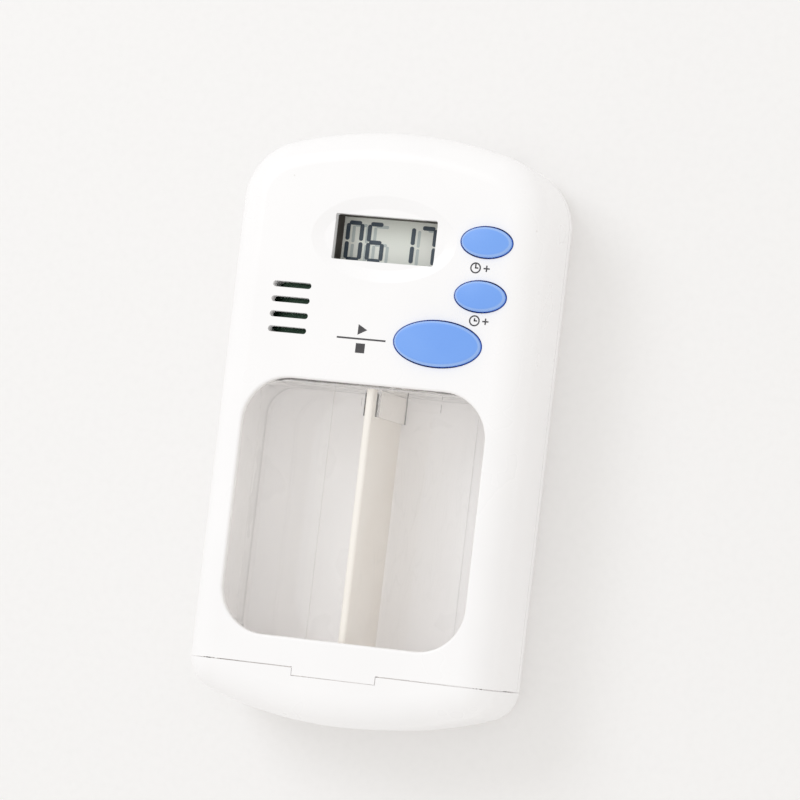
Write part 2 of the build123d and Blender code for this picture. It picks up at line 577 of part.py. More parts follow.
with BuildPart() as buzzer_ceramic:
    with BuildSketch(Plane.XY.offset(CERAMIC_BASE)):
        with Locations((SPEAKER_X, SPEAKER_Y)):
            Circle(PIEZO_CERAMIC_RADIUS)
    extrude(amount=PIEZO_CERAMIC_THICKNESS)
buzzer_ceramic.part.label = "buzzer_ceramic"
export_step(buzzer_ceramic.part, "parts/buzzer_ceramic.step")

with BuildPart() as buzzer_leads:
    for side in (-1, 1):
        lead_x = SPEAKER_X + side * PIEZO_CERAMIC_RADIUS / 2
        with BuildLine() as lead_route:
            FilletPolyline(
                (lead_x, SPEAKER_Y, CERAMIC_BASE),
                (lead_x, SPEAKER_Y, CERAMIC_BASE - LEAD_DROP / 3),
                (lead_x, SPEAKER_Y - LEAD_SHIFT, CERAMIC_BASE - 2 * LEAD_DROP / 3),
                (lead_x, SPEAKER_Y - LEAD_SHIFT, BOARD_TOP),
                radius=LEAD_BEND,
            )
        with BuildSketch(Plane(origin=(lead_x, SPEAKER_Y, CERAMIC_BASE), z_dir=(0, 0, -1))):
            Circle(LEAD_RADIUS)
        sweep(path=lead_route.line)
buzzer_leads.part.label = "buzzer_leads"
export_step(buzzer_leads.part, "parts/buzzer_leads.step")

# Buttons: oval caps with a slightly domed top, a flange behind the face and a stem on the switch
for name, (x, y, half_width, half_height) in BUTTONS.items():
    crest = THICKNESS + BUTTON_RISE
    flange_top = FRONT_INNER - BUTTON_FLANGE_DROP
    dome_radius = (half_width**2 + BUTTON_DOME**2) / (2 * BUTTON_DOME)
    with BuildPart() as button:
        with BuildSketch(Plane.XY.offset(flange_top - BUTTON_FLANGE_THICKNESS)):
            with Locations((x, y)):
                Ellipse(half_width, half_height)
        extrude(amount=crest - flange_top + BUTTON_FLANGE_THICKNESS)
        with Locations((x, y, crest - dome_radius)):
            Sphere(dome_radius, mode=Mode.INTERSECT)
        fillet(button.edges().filter_by(GeomType.BSPLINE), BUTTON_EDGE_ROUND)
        with BuildSketch(Plane.XY.offset(flange_top - BUTTON_FLANGE_THICKNESS)):
            with Locations((x, y)):
                Ellipse(half_width + BUTTON_FLANGE, half_height + BUTTON_FLANGE)
        extrude(amount=BUTTON_FLANGE_THICKNESS)
        with BuildSketch(Plane.XY.offset(PLUNGER_TOP)):
            with Locations((x, y)):
                Circle(BUTTON_STEM_RADIUS)
        extrude(amount=flange_top - PLUNGER_TOP)
    button.part.label = f"{name}_button"
    export_step(button.part, f"parts/{name}_button.step")

    # Small push switch on the board under the button, and its plunger
    with BuildPart() as switch_body:
        with BuildSketch(Plane.XY.offset(BOARD_TOP)):
            with Locations((x, y)):
                Rectangle(SWITCH_SIZE, SWITCH_SIZE)
        extrude(amount=SWITCH_HEIGHT)
        chamfer(switch_body.edges().filter_by(Axis.Z), SMALL_ROUND)
        with BuildSketch(Plane.XY.offset(SWITCH_TOP)):
            with Locations((x, y)):
                Circle(SWITCH_TOP_RADIUS)
        extrude(amount=-(PLUNGER_LENGTH - PLUNGER_RISE + BUTTON_TRAVEL + FIT_CLEARANCE), mode=Mode.SUBTRACT)
    switch_body.part.label = f"{name}_switch"
    export_step(switch_body.part, f"parts/{name}_switch.step")

    with BuildPart() as plunger:
        with BuildSketch(Plane.XY.offset(PLUNGER_TOP - PLUNGER_LENGTH)):
            with Locations((x, y)):
                Circle(PLUNGER_RADIUS)
        extrude(amount=PLUNGER_LENGTH)
    plunger.part.label = f"{name}_plunger"
    export_step(plunger.part, f"parts/{name}_plunger.step")

# Screws: pan heads with cross recesses, and plain shanks
with BuildPart() as case_screws:
    with Locations(*[(x, y, CASE_SCREW_SINK) for x, y in CASE_SCREWS]):
        Cylinder(CASE_SCREW_HEAD_RADIUS, CASE_SCREW_HEAD, align=(Align.CENTER, Align.CENTER, Align.MIN))
    with Locations(*[(x, y, CASE_SCREW_SINK + CASE_SCREW_HEAD) for x, y in CASE_SCREWS]):
        Cylinder(CASE_SCREW_RADIUS, CASE_SCREW_LENGTH, align=(Align.CENTER, Align.CENTER, Align.MIN))
    fillet(case_screws.edges().group_by(Axis.Z)[0], SMALL_ROUND)
    with BuildSketch(Plane.XY.offset(CASE_SCREW_SINK)):
        with Locations(*CASE_SCREWS):
            Rectangle(CASE_SCREW_CROSS, CROSS_WIDTH)
            Rectangle(CROSS_WIDTH, CASE_SCREW_CROSS)
    extrude(amount=CROSS_DEPTH, mode=Mode.SUBTRACT)
case_screws.part.label = "case_screws"
export_step(case_screws.part, "parts/case_screws.step")

with BuildPart() as board_screws:
    with Locations(*[(x, y, BOARD_HEIGHT) for x, y in BOARD_SCREWS]):
        Cylinder(BOARD_SCREW_HEAD_RADIUS, BOARD_SCREW_HEAD, align=(Align.CENTER, Align.CENTER, Align.MAX))
        Cylinder(BOARD_SCREW_RADIUS, BOARD_SCREW_LENGTH, align=(Align.CENTER, Align.CENTER, Align.MIN))
    fillet(board_screws.edges().group_by(Axis.Z)[0], SMALL_ROUND)
    with BuildSketch(Plane.XY.offset(BOARD_HEIGHT - BOARD_SCREW_HEAD)):
        with Locations(*BOARD_SCREWS):
            Rectangle(BOARD_SCREW_CROSS, CROSS_WIDTH)
            Rectangle(CROSS_WIDTH, BOARD_SCREW_CROSS)
    extrude(amount=CROSS_DEPTH, mode=Mode.SUBTRACT)
board_screws.part.label = "board_screws"
export_step(board_screws.part, "parts/board_screws.step")

# Drawer tray: clear moulding with rounded inner corners, open on top, with a skirt that enters the cap
with BuildPart() as drawer_tray:
    with BuildSketch(Plane.XY.offset(TRAY_BASE)) as tray_plan:
        with Locations((0, TRAY_FRONT_Y)):
            Rectangle(2 * TRAY_HALF_WIDTH, TRAY_REAR_Y - TRAY_FRONT_Y, align=(Align.CENTER, Align.MIN))
        fillet(tray_plan.vertices().group_by(Axis.Y)[-1], TRAY_CORNER)
        fillet(tray_plan.vertices().group_by(Axis.Y)[0], TRAY_SKIRT)
    extrude(amount=TRAY_TOP - TRAY_BASE)
    fillet(drawer_tray.faces().sort_by(Axis.Z)[0].edges(), TRAY_BOTTOM_ROUND)
    with BuildSketch(Plane.XY.offset(TRAY_FLOOR_TOP)):
        with Locations((0, TRAY_FRONT_INNER_Y + COMPARTMENT_LENGTH / 2)):
            RectangleRounded(2 * (TRAY_HALF_WIDTH - TRAY_WALL), COMPARTMENT_LENGTH, TRAY_CORNER - TRAY_WALL)
    extrude(amount=TRAY_TOP - TRAY_FLOOR_TOP, mode=Mode.SUBTRACT)
    with BuildSketch(Plane(origin=(0, TRAY_FRONT_Y, 0), x_dir=(1, 0, 0), z_dir=(0, -1, 0))):
        with Locations((0, (TRAY_BASE + TRAY_TOP) / 2)):
            RectangleRounded(
                2 * (TRAY_HALF_WIDTH - TRAY_WALL), TRAY_TOP - TRAY_BASE - 2 * TRAY_WALL, TRAY_BOTTOM_ROUND
            )
    extrude(amount=-(TRAY_FRONT_INNER_Y - TRAY_END_WALL - TRAY_FRONT_Y), mode=Mode.SUBTRACT)
    # Ribs that hold the rear end of the divider, and the stop lug under the floor
    with BuildSketch(Plane.XY.offset(TRAY_FLOOR_TOP - TINY)):
        with Locations((-DIVIDER_THICKNESS / 2 - DIVIDER_FIT, TRAY_REAR_INNER_Y + TINY)):
            Rectangle(DIVIDER_RIB, DIVIDER_RIB_LENGTH, align=(Align.MAX, Align.MAX))
        with Locations((DIVIDER_THICKNESS / 2 + DIVIDER_FIT, TRAY_REAR_INNER_Y + TINY)):
            Rectangle(DIVIDER_RIB, DIVIDER_RIB_LENGTH, align=(Align.MIN, Align.MAX))
    extrude(amount=TRAY_TOP - TRAY_FLOOR_TOP)
    with BuildSketch(Plane.XY.offset(TRAY_BASE + TINY)):
        with Locations((0, TRAY_REAR_Y - STOP_TO_REAR)):
            Rectangle(STOP_WIDTH, STOP_LENGTH, align=(Align.CENTER, Align.MAX))
    extrude(amount=-(RUNNING_CLEARANCE - RUNNER_CLEARANCE))
drawer_tray.part.label = "drawer_tray"
export_step(drawer_tray.part, "parts/drawer_tray.step")

# Divider that stands in the tray and makes the two compartments
with BuildPart() as drawer_divider:
    with BuildSketch(Plane.XY.offset(TRAY_FLOOR_TOP)):
        with Locations((0, TRAY_FRONT_INNER_Y + COMPARTMENT_LENGTH / 2)):
            Rectangle(DIVIDER_THICKNESS, COMPARTMENT_LENGTH - 2 * DIVIDER_FIT)
    extrude(amount=FRONT_INNER - DIVIDER_TOP_CLEARANCE - TRAY_FLOOR_TOP)
    fillet(
        drawer_divider.faces().sort_by(Axis.Z)[-1].edges().filter_by(Axis.Y),
        DIVIDER_THICKNESS / 2 - FIT_CLEARANCE,
    )
drawer_divider.part.label = "drawer_divider"
export_step(drawer_divider.part, "parts/drawer_divider.step")

# End cap of the drawer: hollow bowed end with a notch for the tongue and two locating ribs
with BuildPart() as end_cap:
    add(case_form.part)
    add(hollow_form.part, mode=Mode.SUBTRACT)
    split(bisect_by=CAP_END, keep=Keep.BOTTOM)
    with BuildSketch(Plane.XY.offset(FRONT_INNER - FIT_CLEARANCE)):
        with Locations((0, SEAM_Y)):
            Rectangle(TONGUE_WIDTH + 2 * FIT_CLEARANCE, 2 * (TONGUE_DEPTH + FIT_CLEARANCE))
    extrude(amount=2 * FRONT_WALL, mode=Mode.SUBTRACT)
    with BuildSketch(Plane.XY.offset(TRAY_BASE + 2 * TRAY_WALL)):
        with Locations((-CAP_RIB_X, BOTTOM_Y + SIDE_WALL), (CAP_RIB_X, BOTTOM_Y + SIDE_WALL)):
            Rectangle(
                CAP_RIB_THICKNESS,
                TRAY_FRONT_INNER_Y - TRAY_END_WALL - DIVIDER_FIT - BOTTOM_Y - SIDE_WALL,
                align=(Align.CENTER, Align.MIN),
            )
    extrude(amount=TRAY_TOP - TRAY_BASE - 4 * TRAY_WALL)
end_cap.part.label = "end_cap"
export_step(end_cap.part, "parts/end_cap.step")

# Battery door: slides out over the display end, with side tongues, thumb grooves and an end lip
with BuildPart() as battery_door:
    with BuildSketch(Plane.XY.offset(DOOR_RECESS)):
        with Locations((0, DOOR_LOW_Y + SLIDE_CLEARANCE)):
            Rectangle(DOOR_WIDTH, LENGTH, align=(Align.CENTER, Align.MIN))
    extrude(amount=DOOR_THICKNESS)
    with BuildSketch(Plane.XY.offset(DOOR_LEDGE + FIT_CLEARANCE)):
        with Locations((0, DOOR_LOW_Y + SLIDE_CLEARANCE)):
            Rectangle(DOOR_WIDTH + 2 * DOOR_TONGUE, LENGTH, align=(Align.CENTER, Align.MIN))
    extrude(amount=DOOR_TOP - DOOR_LEDGE - FIT_CLEARANCE)
    with BuildSketch(Plane.XY.offset(DOOR_RECESS)):
        with Locations((0, TOP_Y - DOOR_LIP)):
            Rectangle(DOOR_WIDTH + 2 * DOOR_TONGUE, LENGTH, align=(Align.CENTER, Align.MIN))
    extrude(amount=PARTING_BOTTOM - DOOR_RECESS)
    add(case_form.part, mode=Mode.INTERSECT)
    with BuildSketch(Plane.XY.offset(DOOR_RECESS)):
        with Locations((0, CELL_Y - WELL_HALF_LENGTH / 2)):
            with GridLocations(0, DOOR_GROOVE_PITCH, 1, DOOR_GROOVES):
                SlotOverall(DOOR_GROOVE_LENGTH, DOOR_GROOVE_WIDTH)
    extrude(amount=DOOR_GROOVE_DEPTH, mode=Mode.SUBTRACT)
battery_door.part.label = "battery_door"
export_step(battery_door.part, "parts/battery_door.step")

# Spring strip on the door that joins the two cells
with BuildPart() as cell_bridge:
    with BuildSketch(Plane.XY.offset(DOOR_TOP)):
        with Locations((0, CELL_Y)):
            RectangleRounded(BRIDGE_LENGTH, BRIDGE_WIDTH, BRIDGE_CORNER)
    extrude(amount=CONTACT_SHEET)
cell_bridge.part.label = "cell_bridge"
export_step(cell_bridge.part, "parts/cell_bridge.step")

# Two button cells side by side, the right one the other way up, and their leaf contacts under the board
for name, side in (("left", -1), ("right", 1)):
    cell_x = side * CELL_SPACING / 2
    with BuildPart() as button_cell:
        with BuildSketch(Plane.XY.offset(CELL_BASE if side < 0 else CELL_BASE + CELL_STEP)):
            with Locations((cell_x, CELL_Y)):
                Circle(CELL_RADIUS)
        extrude(amount=CELL_HEIGHT - CELL_STEP)
        fillet(button_cell.edges().filter_by(GeomType.CIRCLE), SMALL_ROUND)
        with BuildSketch(Plane.XY.offset(CELL_BASE)):
            with Locations((cell_x, CELL_Y)):
                Circle(CELL_RADIUS - CELL_STEP_WALL)
        extrude(amount=CELL_HEIGHT)
    button_cell.part.label = f"button_cell_{name}"
    export_step(button_cell.part, f"parts/button_cell_{name}.step")

    leaf_top = BOARD_HEIGHT - CONTACT_SHEET / 2
    leaf_low = CELL_BASE + CELL_HEIGHT + CONTACT_SHEET
    with BuildPart() as cell_contact:
        with BuildSketch(Plane(origin=(cell_x - CONTACT_WIDTH / 2, 0, 0), x_dir=(0, 1, 0), z_dir=(1, 0, 0))):
            with BuildLine() as leaf:
                Polyline(
                    (CELL_Y - CONTACT_REACH, leaf_top),
                    (CELL_Y - CONTACT_REACH / 2, leaf_top),
                    (CELL_Y + CONTACT_REACH / 4, leaf_low),
                    (CELL_Y + CONTACT_REACH / 2, leaf_low + CONTACT_SHEET),
                )
            trace(leaf.line, CONTACT_SHEET)
        extrude(amount=CONTACT_WIDTH)
    cell_contact.part.label = f"cell_contact_{name}"
    export_step(cell_contact.part, f"parts/cell_contact_{name}.step")
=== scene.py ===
"""Looks of the pocket pill box with alarm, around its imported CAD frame.

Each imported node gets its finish. Added to them are the digits of the display and the printed signs beside the
buttons. The drawer is shown empty, as the box is handed over.
"""

import logging
import math
from dataclasses import dataclass
from enum import Enum

import bpy
import numpy as np
from mathutils import Matrix, Vector


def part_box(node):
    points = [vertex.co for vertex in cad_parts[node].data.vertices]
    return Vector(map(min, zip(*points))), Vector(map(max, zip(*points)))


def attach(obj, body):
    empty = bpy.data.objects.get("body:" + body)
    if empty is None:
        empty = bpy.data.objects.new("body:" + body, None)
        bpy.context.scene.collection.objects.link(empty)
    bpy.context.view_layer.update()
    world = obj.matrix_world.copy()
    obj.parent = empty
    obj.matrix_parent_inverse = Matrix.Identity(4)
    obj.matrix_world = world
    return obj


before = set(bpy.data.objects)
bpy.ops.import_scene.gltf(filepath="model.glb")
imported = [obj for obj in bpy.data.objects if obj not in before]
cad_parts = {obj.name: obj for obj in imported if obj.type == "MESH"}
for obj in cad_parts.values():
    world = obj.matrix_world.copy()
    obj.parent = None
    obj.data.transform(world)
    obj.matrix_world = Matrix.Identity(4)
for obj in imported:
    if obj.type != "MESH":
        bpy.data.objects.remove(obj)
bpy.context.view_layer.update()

LOG = logging.getLogger("pill_box")
MM = 0.001
Colour = tuple[float, float, float]
Point = tuple[float, float, float]
Span = tuple[float, float]
Place = tuple[float, float]
Socket = bpy.types.NodeSocket
Value = Socket | float | tuple[float, ...]

WHITE: Colour = (1.0, 1.0, 1.0)
SCREEN_WHITE = 255.0
SCREEN_CURVE_FROM = 0.04045
SCREEN_SLOPE = 12.92
SCREEN_OFFSET = 0.055
SCREEN_POWER = 2.4

# A Mix node has sockets for each kind of value. These are its factor and the ones for colours.
MIX_FACTOR, MIX_LOW, MIX_HIGH, MIX_RESULT = 0, 6, 7, 2

# Corners of a square with sides of 2 round the origin, counter-clockwise.
SQUARE = np.array([[-1, -1], [1, -1], [1, 1], [-1, 1]])


def srgb(red: int, green: int, blue: int) -> Colour:
    """Turns a screen colour of 0 to 255 into the linear colour that shaders take.

    The screen curve is a straight slope up to SCREEN_CURVE_FROM, and a power of the offset value above it.

    Args:
        red: red share as shown on a screen.
        green: green share as shown on a screen.
        blue: blue share as shown on a screen.

    Returns:
        The linear colour.
    """
    shown = np.array([red, green, blue]) / SCREEN_WHITE
    curved = ((shown + SCREEN_OFFSET) / (1.0 + SCREEN_OFFSET)) ** SCREEN_POWER
    linear = np.where(shown <= SCREEN_CURVE_FROM, shown / SCREEN_SLOPE, curved)
    return tuple(float(value) for value in linear)


class Body(Enum):
    """CAD bodies that pieces ride on."""

    HOUSING = "housing"


# Node trees


class Sum(Enum):
    """Sums that a Math node does."""

    ADD = "ADD"
    SUBTRACT = "SUBTRACT"
    MULTIPLY = "MULTIPLY"
    DIVIDE = "DIVIDE"
    LARGER = "MAXIMUM"
    BELOW = "LESS_THAN"
    SIZE = "ABSOLUTE"
    FRACTION = "FRACT"


class Axis(Enum):
    """Parts of a vector, by the number of their socket."""

    X = 0
    Z = 2


class Tree:
    """A node tree with short calls that add and join nodes."""

    def __init__(self, tree: bpy.types.NodeTree) -> None:
        """Keeps the tree that nodes go into."""
        self.tree = tree

    def add(self, kind: str, **settings: object) -> bpy.types.Node:
        """Adds a node and sets its properties.

        Args:
            kind: the node's Blender type name without the ShaderNode prefix.
            settings: properties of the node, by name.

        Returns:
            The new node.
        """
        node = self.tree.nodes.new("ShaderNode" + kind)
        for name, value in settings.items():
            setattr(node, name, value)
        return node

    def put(self, value: Value, socket: Socket) -> None:
        """Links a socket to the one that feeds it, or sets its own value. A colour gets full alpha.

        Args:
            value: the feeding socket, or a number, vector or colour.
            socket: the socket that takes it.
        """
        if isinstance(value, Socket):
            self.tree.links.new(value, socket)
        else:
            socket.default_value = (*value, 1.0) if socket.type == "RGBA" else value

    def feed(self, node: bpy.types.Node, **inputs: Value) -> bpy.types.Node:
        """Sets or links a node's inputs, named with underscores for spaces.

        Args:
            node: the node whose inputs are fed.
            inputs: a socket to link, or a value to set, for each input.

        Returns:
            The same node.
        """
        for name, value in inputs.items():
            self.put(value, node.inputs[name.replace("_", " ")])
        return node

    def math(self, kind: Sum, first: Value, second: Value = 0.0) -> Socket:
        """Adds a Math node.

        Args:
            kind: the sum that it does.
            first: first socket or number.
            second: second socket or number.

        Returns:
            The result's socket.
        """
        node = self.add("Math", operation=kind.value)
        self.put(first, node.inputs[0])
        self.put(second, node.inputs[1])
        return node.outputs[0]

    def blend(self, share: Value, low: Value, high: Value) -> Socket:
        """Mixes two colours.

        Args:
            share: how much of the second colour shows, from 0 to 1.
            low: first colour or socket.
            high: second colour or socket.

        Returns:
            The mixed colour's socket.
        """
        node = self.add("Mix", data_type="RGBA")
        for value, number in ((share, MIX_FACTOR), (low, MIX_LOW), (high, MIX_HIGH)):
            self.put(value, node.inputs[number])
        return node.outputs[MIX_RESULT]

    def ramp(self, value: Socket, low: float, high: float) -> Socket:
        """Stretches low to high of a value to 0 to 1, smoothly and clamped.

        Args:
            value: the value's socket.
            low: value that gives 0.
            high: value that gives 1.

        Returns:
            The stretched value's socket.
        """
        node = self.add("MapRange", interpolation_type="SMOOTHSTEP")
        return self.feed(node, Value=value, From_Min=low, From_Max=high).outputs[0]

    def noise(self, place: Socket, scale: Value, detail: float, roughness: float = 0.5) -> Socket:
        """Adds a soft noise.

        Args:
            place: the coordinates that it is read at.
            scale: its patches per metre.
            detail: how many finer layers lie on it.
            roughness: how strong each finer layer is.

        Returns:
            The socket of the noise, about 0 to 1.
        """
        node = self.feed(self.add("TexNoise"), Vector=place, Scale=scale, Detail=detail, Roughness=roughness)
        return node.outputs[0]

    def bump(self, height: Socket, strength: Value, distance: float) -> bpy.types.Node:
        """Adds a Bump node.

        Args:
            height: the relief's socket.
            strength: how strongly the relief shows.
            distance: the relief's full height in metres.

        Returns:
            The node, whose Normal input may take another relief.
        """
        return self.feed(self.add("Bump"), Strength=strength, Distance=distance, Height=height)

    def along(self, vector: Socket, axis: Axis) -> Socket:
        """Takes one part of a vector.

        Args:
            vector: the vector's socket.
            axis: the part wanted.

        Returns:
            The part's socket.
        """
        return self.feed(self.add("SeparateXYZ"), Vector=vector).outputs[axis.value]

    def mix(self, share: Value, first: bpy.types.Node, second: bpy.types.Node) -> bpy.types.Node:
        """Mixes two shaders.

        Args:
            share: how much of the second shader shows, from 0 to 1.
            first: first shader.
            second: second shader.

        Returns:
            The mixed shader.
        """
        node = self.add("MixShader")
        for value, socket in zip((share, first.outputs[0], second.outputs[0]), node.inputs):
            self.put(value, socket)
        return node

    def position(self) -> Socket:
        """Object coordinates of the point being shaded."""
        return self.add("TexCoord").outputs["Object"]


# Shared effects


class SocketKind(Enum):
    """Kinds of socket that a group has."""

    NUMBER = "NodeSocketFloat"
    VECTOR = "NodeSocketVector"


def open_group(
    name: str, inputs: dict[str, float], outputs: dict[str, SocketKind],
) -> tuple[Tree, bpy.types.Node, bpy.types.Node]:
    """Starts a node group with its named sockets.

    Args:
        name: the group's name.
        inputs: the number that each input has until a material sets it.
        outputs: the kind of each output.

    Returns:
        The tree, its input node and its output node.
    """
    made = bpy.data.node_groups.new(name, "ShaderNodeTree")
    for label, value in inputs.items():
        socket = made.interface.new_socket(label, in_out="INPUT", socket_type=SocketKind.NUMBER.value)
        socket.default_value = value
    for label, kind in outputs.items():
        made.interface.new_socket(label, in_out="OUTPUT", socket_type=kind.value)
    return Tree(made), made.nodes.new("NodeGroupInput"), made.nodes.new("NodeGroupOutput")


@dataclass(frozen=True)
class MouldedSkin:
    """Skin of a moulding: a fine grain with broad, faint mottling under it."""

    name: str = "moulded_skin"
    patches_per_metre: float = 70.0
    grains_per_metre: float = 5200.0
    grain_depth: float = 0.12
    wave_depth: float = 0.1
    wave_height: float = 0.2 * MM
    grain_height: float = 0.02 * MM
    mottle_span: Span = (0.32, 0.68)

    def group(self) -> bpy.types.NodeTree:
        """Builds the group.

        Returns:
            The group: Mottle runs from 0 to 1 in soft patches, and Skin Normal carries grain and slow waves.
        """
        tree, given, made = open_group(
            self.name,
            {"Patches per Metre": self.patches_per_metre, "Grains per Metre": self.grains_per_metre,
             "Grain Depth": self.grain_depth, "Wave Depth": self.wave_depth},
            {"Mottle": SocketKind.NUMBER, "Skin Normal": SocketKind.VECTOR},
        )
        place = tree.position()
        patches = tree.noise(place, given.outputs["Patches per Metre"], detail=3.0, roughness=0.55)
        grains = tree.noise(place, given.outputs["Grains per Metre"], detail=2.0, roughness=0.6)
        waves = tree.bump(patches, given.outputs["Wave Depth"], self.wave_height)
        grain = tree.bump(grains, given.outputs["Grain Depth"], self.grain_height)
        tree.feed(grain, Normal=waves.outputs[0])
        tree.feed(made, Mottle=tree.ramp(patches, *self.mottle_span), Skin_Normal=grain.outputs[0])
        return tree.tree


@dataclass(frozen=True)
class RoundedEdge:
    """Mask of the edges of a piece, where hands polish it."""

    name: str = "rounded_edge"
    reach: float = 0.3 * MM
    samples: int = 4
    edge_span: Span = (0.02, 0.22)
    breaks_per_metre: float = 900.0
    break_span: Span = (0.25, 0.6)

    def group(self) -> bpy.types.NodeTree:
        """Builds the group.

        Returns:
            The group: Edge is 1 where a rounded normal leaves the true one, broken up by a soft noise.
        """
        tree, given, made = open_group(self.name, {"Reach": self.reach}, {"Edge": SocketKind.NUMBER})
        softened = tree.feed(tree.add("Bevel", samples=self.samples), Radius=given.outputs[0])
        closeness = tree.add("VectorMath", operation="DOT_PRODUCT")
        tree.put(softened.outputs[0], closeness.inputs[0])
        tree.put(tree.add("NewGeometry").outputs["True Normal"], closeness.inputs[1])
        edge = tree.ramp(tree.math(Sum.SUBTRACT, 1.0, closeness.outputs["Value"]), *self.edge_span)
        broken = tree.noise(tree.position(), self.breaks_per_metre, detail=2.0)
        tree.feed(made, Edge=tree.math(Sum.MULTIPLY, edge, tree.ramp(broken, *self.break_span)))
        return tree.tree


@dataclass(frozen=True)
class FineSpecks:
    """Scattered small specks."""

    name: str = "fine_specks"
    cells_per_metre: float = 1100.0
    share: float = 0.2
    width: float = 0.16

    def group(self) -> bpy.types.NodeTree:
        """Builds the group.

        Returns:
            The group: Speck is 1 inside a speck. Each has its own cell, and only a share of cells has one.
        """
        tree, given, made = open_group(
            self.name,
            {"Cells per Metre": self.cells_per_metre, "Share": self.share, "Width": self.width},
            {"Speck": SocketKind.NUMBER},
        )
        scale = given.outputs["Cells per Metre"]
        cells = tree.feed(tree.add("TexVoronoi"), Vector=tree.position(), Scale=scale)
        near = tree.math(Sum.BELOW, cells.outputs["Distance"], given.outputs["Width"])
        dice = tree.feed(tree.add("SeparateColor"), Color=cells.outputs["Color"])
        kept = tree.math(Sum.BELOW, dice.outputs[0], given.outputs["Share"])
        tree.feed(made, Speck=tree.math(Sum.MULTIPLY, near, kept))
        return tree.tree


@dataclass(frozen=True)
class HandlingMarks:
    """Fine hairline marks, as handling leaves them on gloss plastic."""

    name: str = "handling_marks"
    lines_per_metre: float = 500.0
    turns: Span = (0.4, 1.9)
    stretch: Point = (1.0, 0.12, 1.0)
    noise_middle: float = 0.5
    line_span: Span = (0.012, 0.0)
    patches_per_metre: float = 60.0
    patch_span: Span = (0.45, 0.7)

    def lines(self, tree: Tree, place: Socket, scale: Socket, turn: float) -> Socket:
        """Draws the lines of one direction, where a stretched noise crosses its middle value.

        Args:
            tree: the group's tree.
            place: the coordinates that the lines are read at.
            scale: how close the lines lie.
            turn: their direction, in radians.

        Returns:
            The mask's socket.
        """
        turned = tree.feed(tree.add("Mapping"), Vector=place, Rotation=(0.0, 0.0, turn), Scale=self.stretch)
        waves = tree.noise(turned.outputs[0], scale, detail=1.0)
        off_middle = tree.math(Sum.SIZE, tree.math(Sum.SUBTRACT, waves, self.noise_middle))
        return tree.ramp(off_middle, *self.line_span)

    def group(self) -> bpy.types.NodeTree:
        """Builds the group.

        Returns:
            The group: Marks is 1 along thin lines in two crossing directions, which fade out in patches.
        """
        tree, given, made = open_group(
            self.name, {"Lines per Metre": self.lines_per_metre}, {"Marks": SocketKind.NUMBER},
        )
        place = tree.position()
        first, second = (self.lines(tree, place, given.outputs[0], turn) for turn in self.turns)
        faint = tree.ramp(tree.noise(place, self.patches_per_metre, detail=2.0), *self.patch_span)
        tree.feed(made, Marks=tree.math(Sum.MULTIPLY, tree.math(Sum.LARGER, first, second), faint))
        return tree.tree


class SharedEffect(Enum):
    """Node groups that several finishes use. They put out masks, values and normals only."""

    MOULDED_SKIN = MouldedSkin()
    ROUNDED_EDGE = RoundedEdge()
    FINE_SPECKS = FineSpecks()
    HANDLING_MARKS = HandlingMarks()


def effect(tree: Tree, which: SharedEffect, **inputs: Value) -> bpy.types.Node:
    """Adds a shared effect's group to a material, and builds the group the first time.

    Args:
        tree: the material's tree.
        which: the effect wanted.
        inputs: values or sockets for the group's inputs.

    Returns:
        The group node.
    """
    group = bpy.data.node_groups.get(which.value.name) or which.value.group()
    return tree.feed(tree.add("Group", node_tree=group), **inputs)


# Finishes


def new_material(name: str) -> tuple[bpy.types.Material, Tree, bpy.types.Node, bpy.types.Node]:
    """Starts a material.

    Args:
        name: the material's name.

    Returns:
        The material, its tree, its Principled shader and its output node.
    """
    material = bpy.data.materials.new(f"{name}_finish")
    material.use_nodes = True
    nodes = material.node_tree.nodes
    return material, Tree(material.node_tree), nodes["Principled BSDF"], nodes["Material Output"]


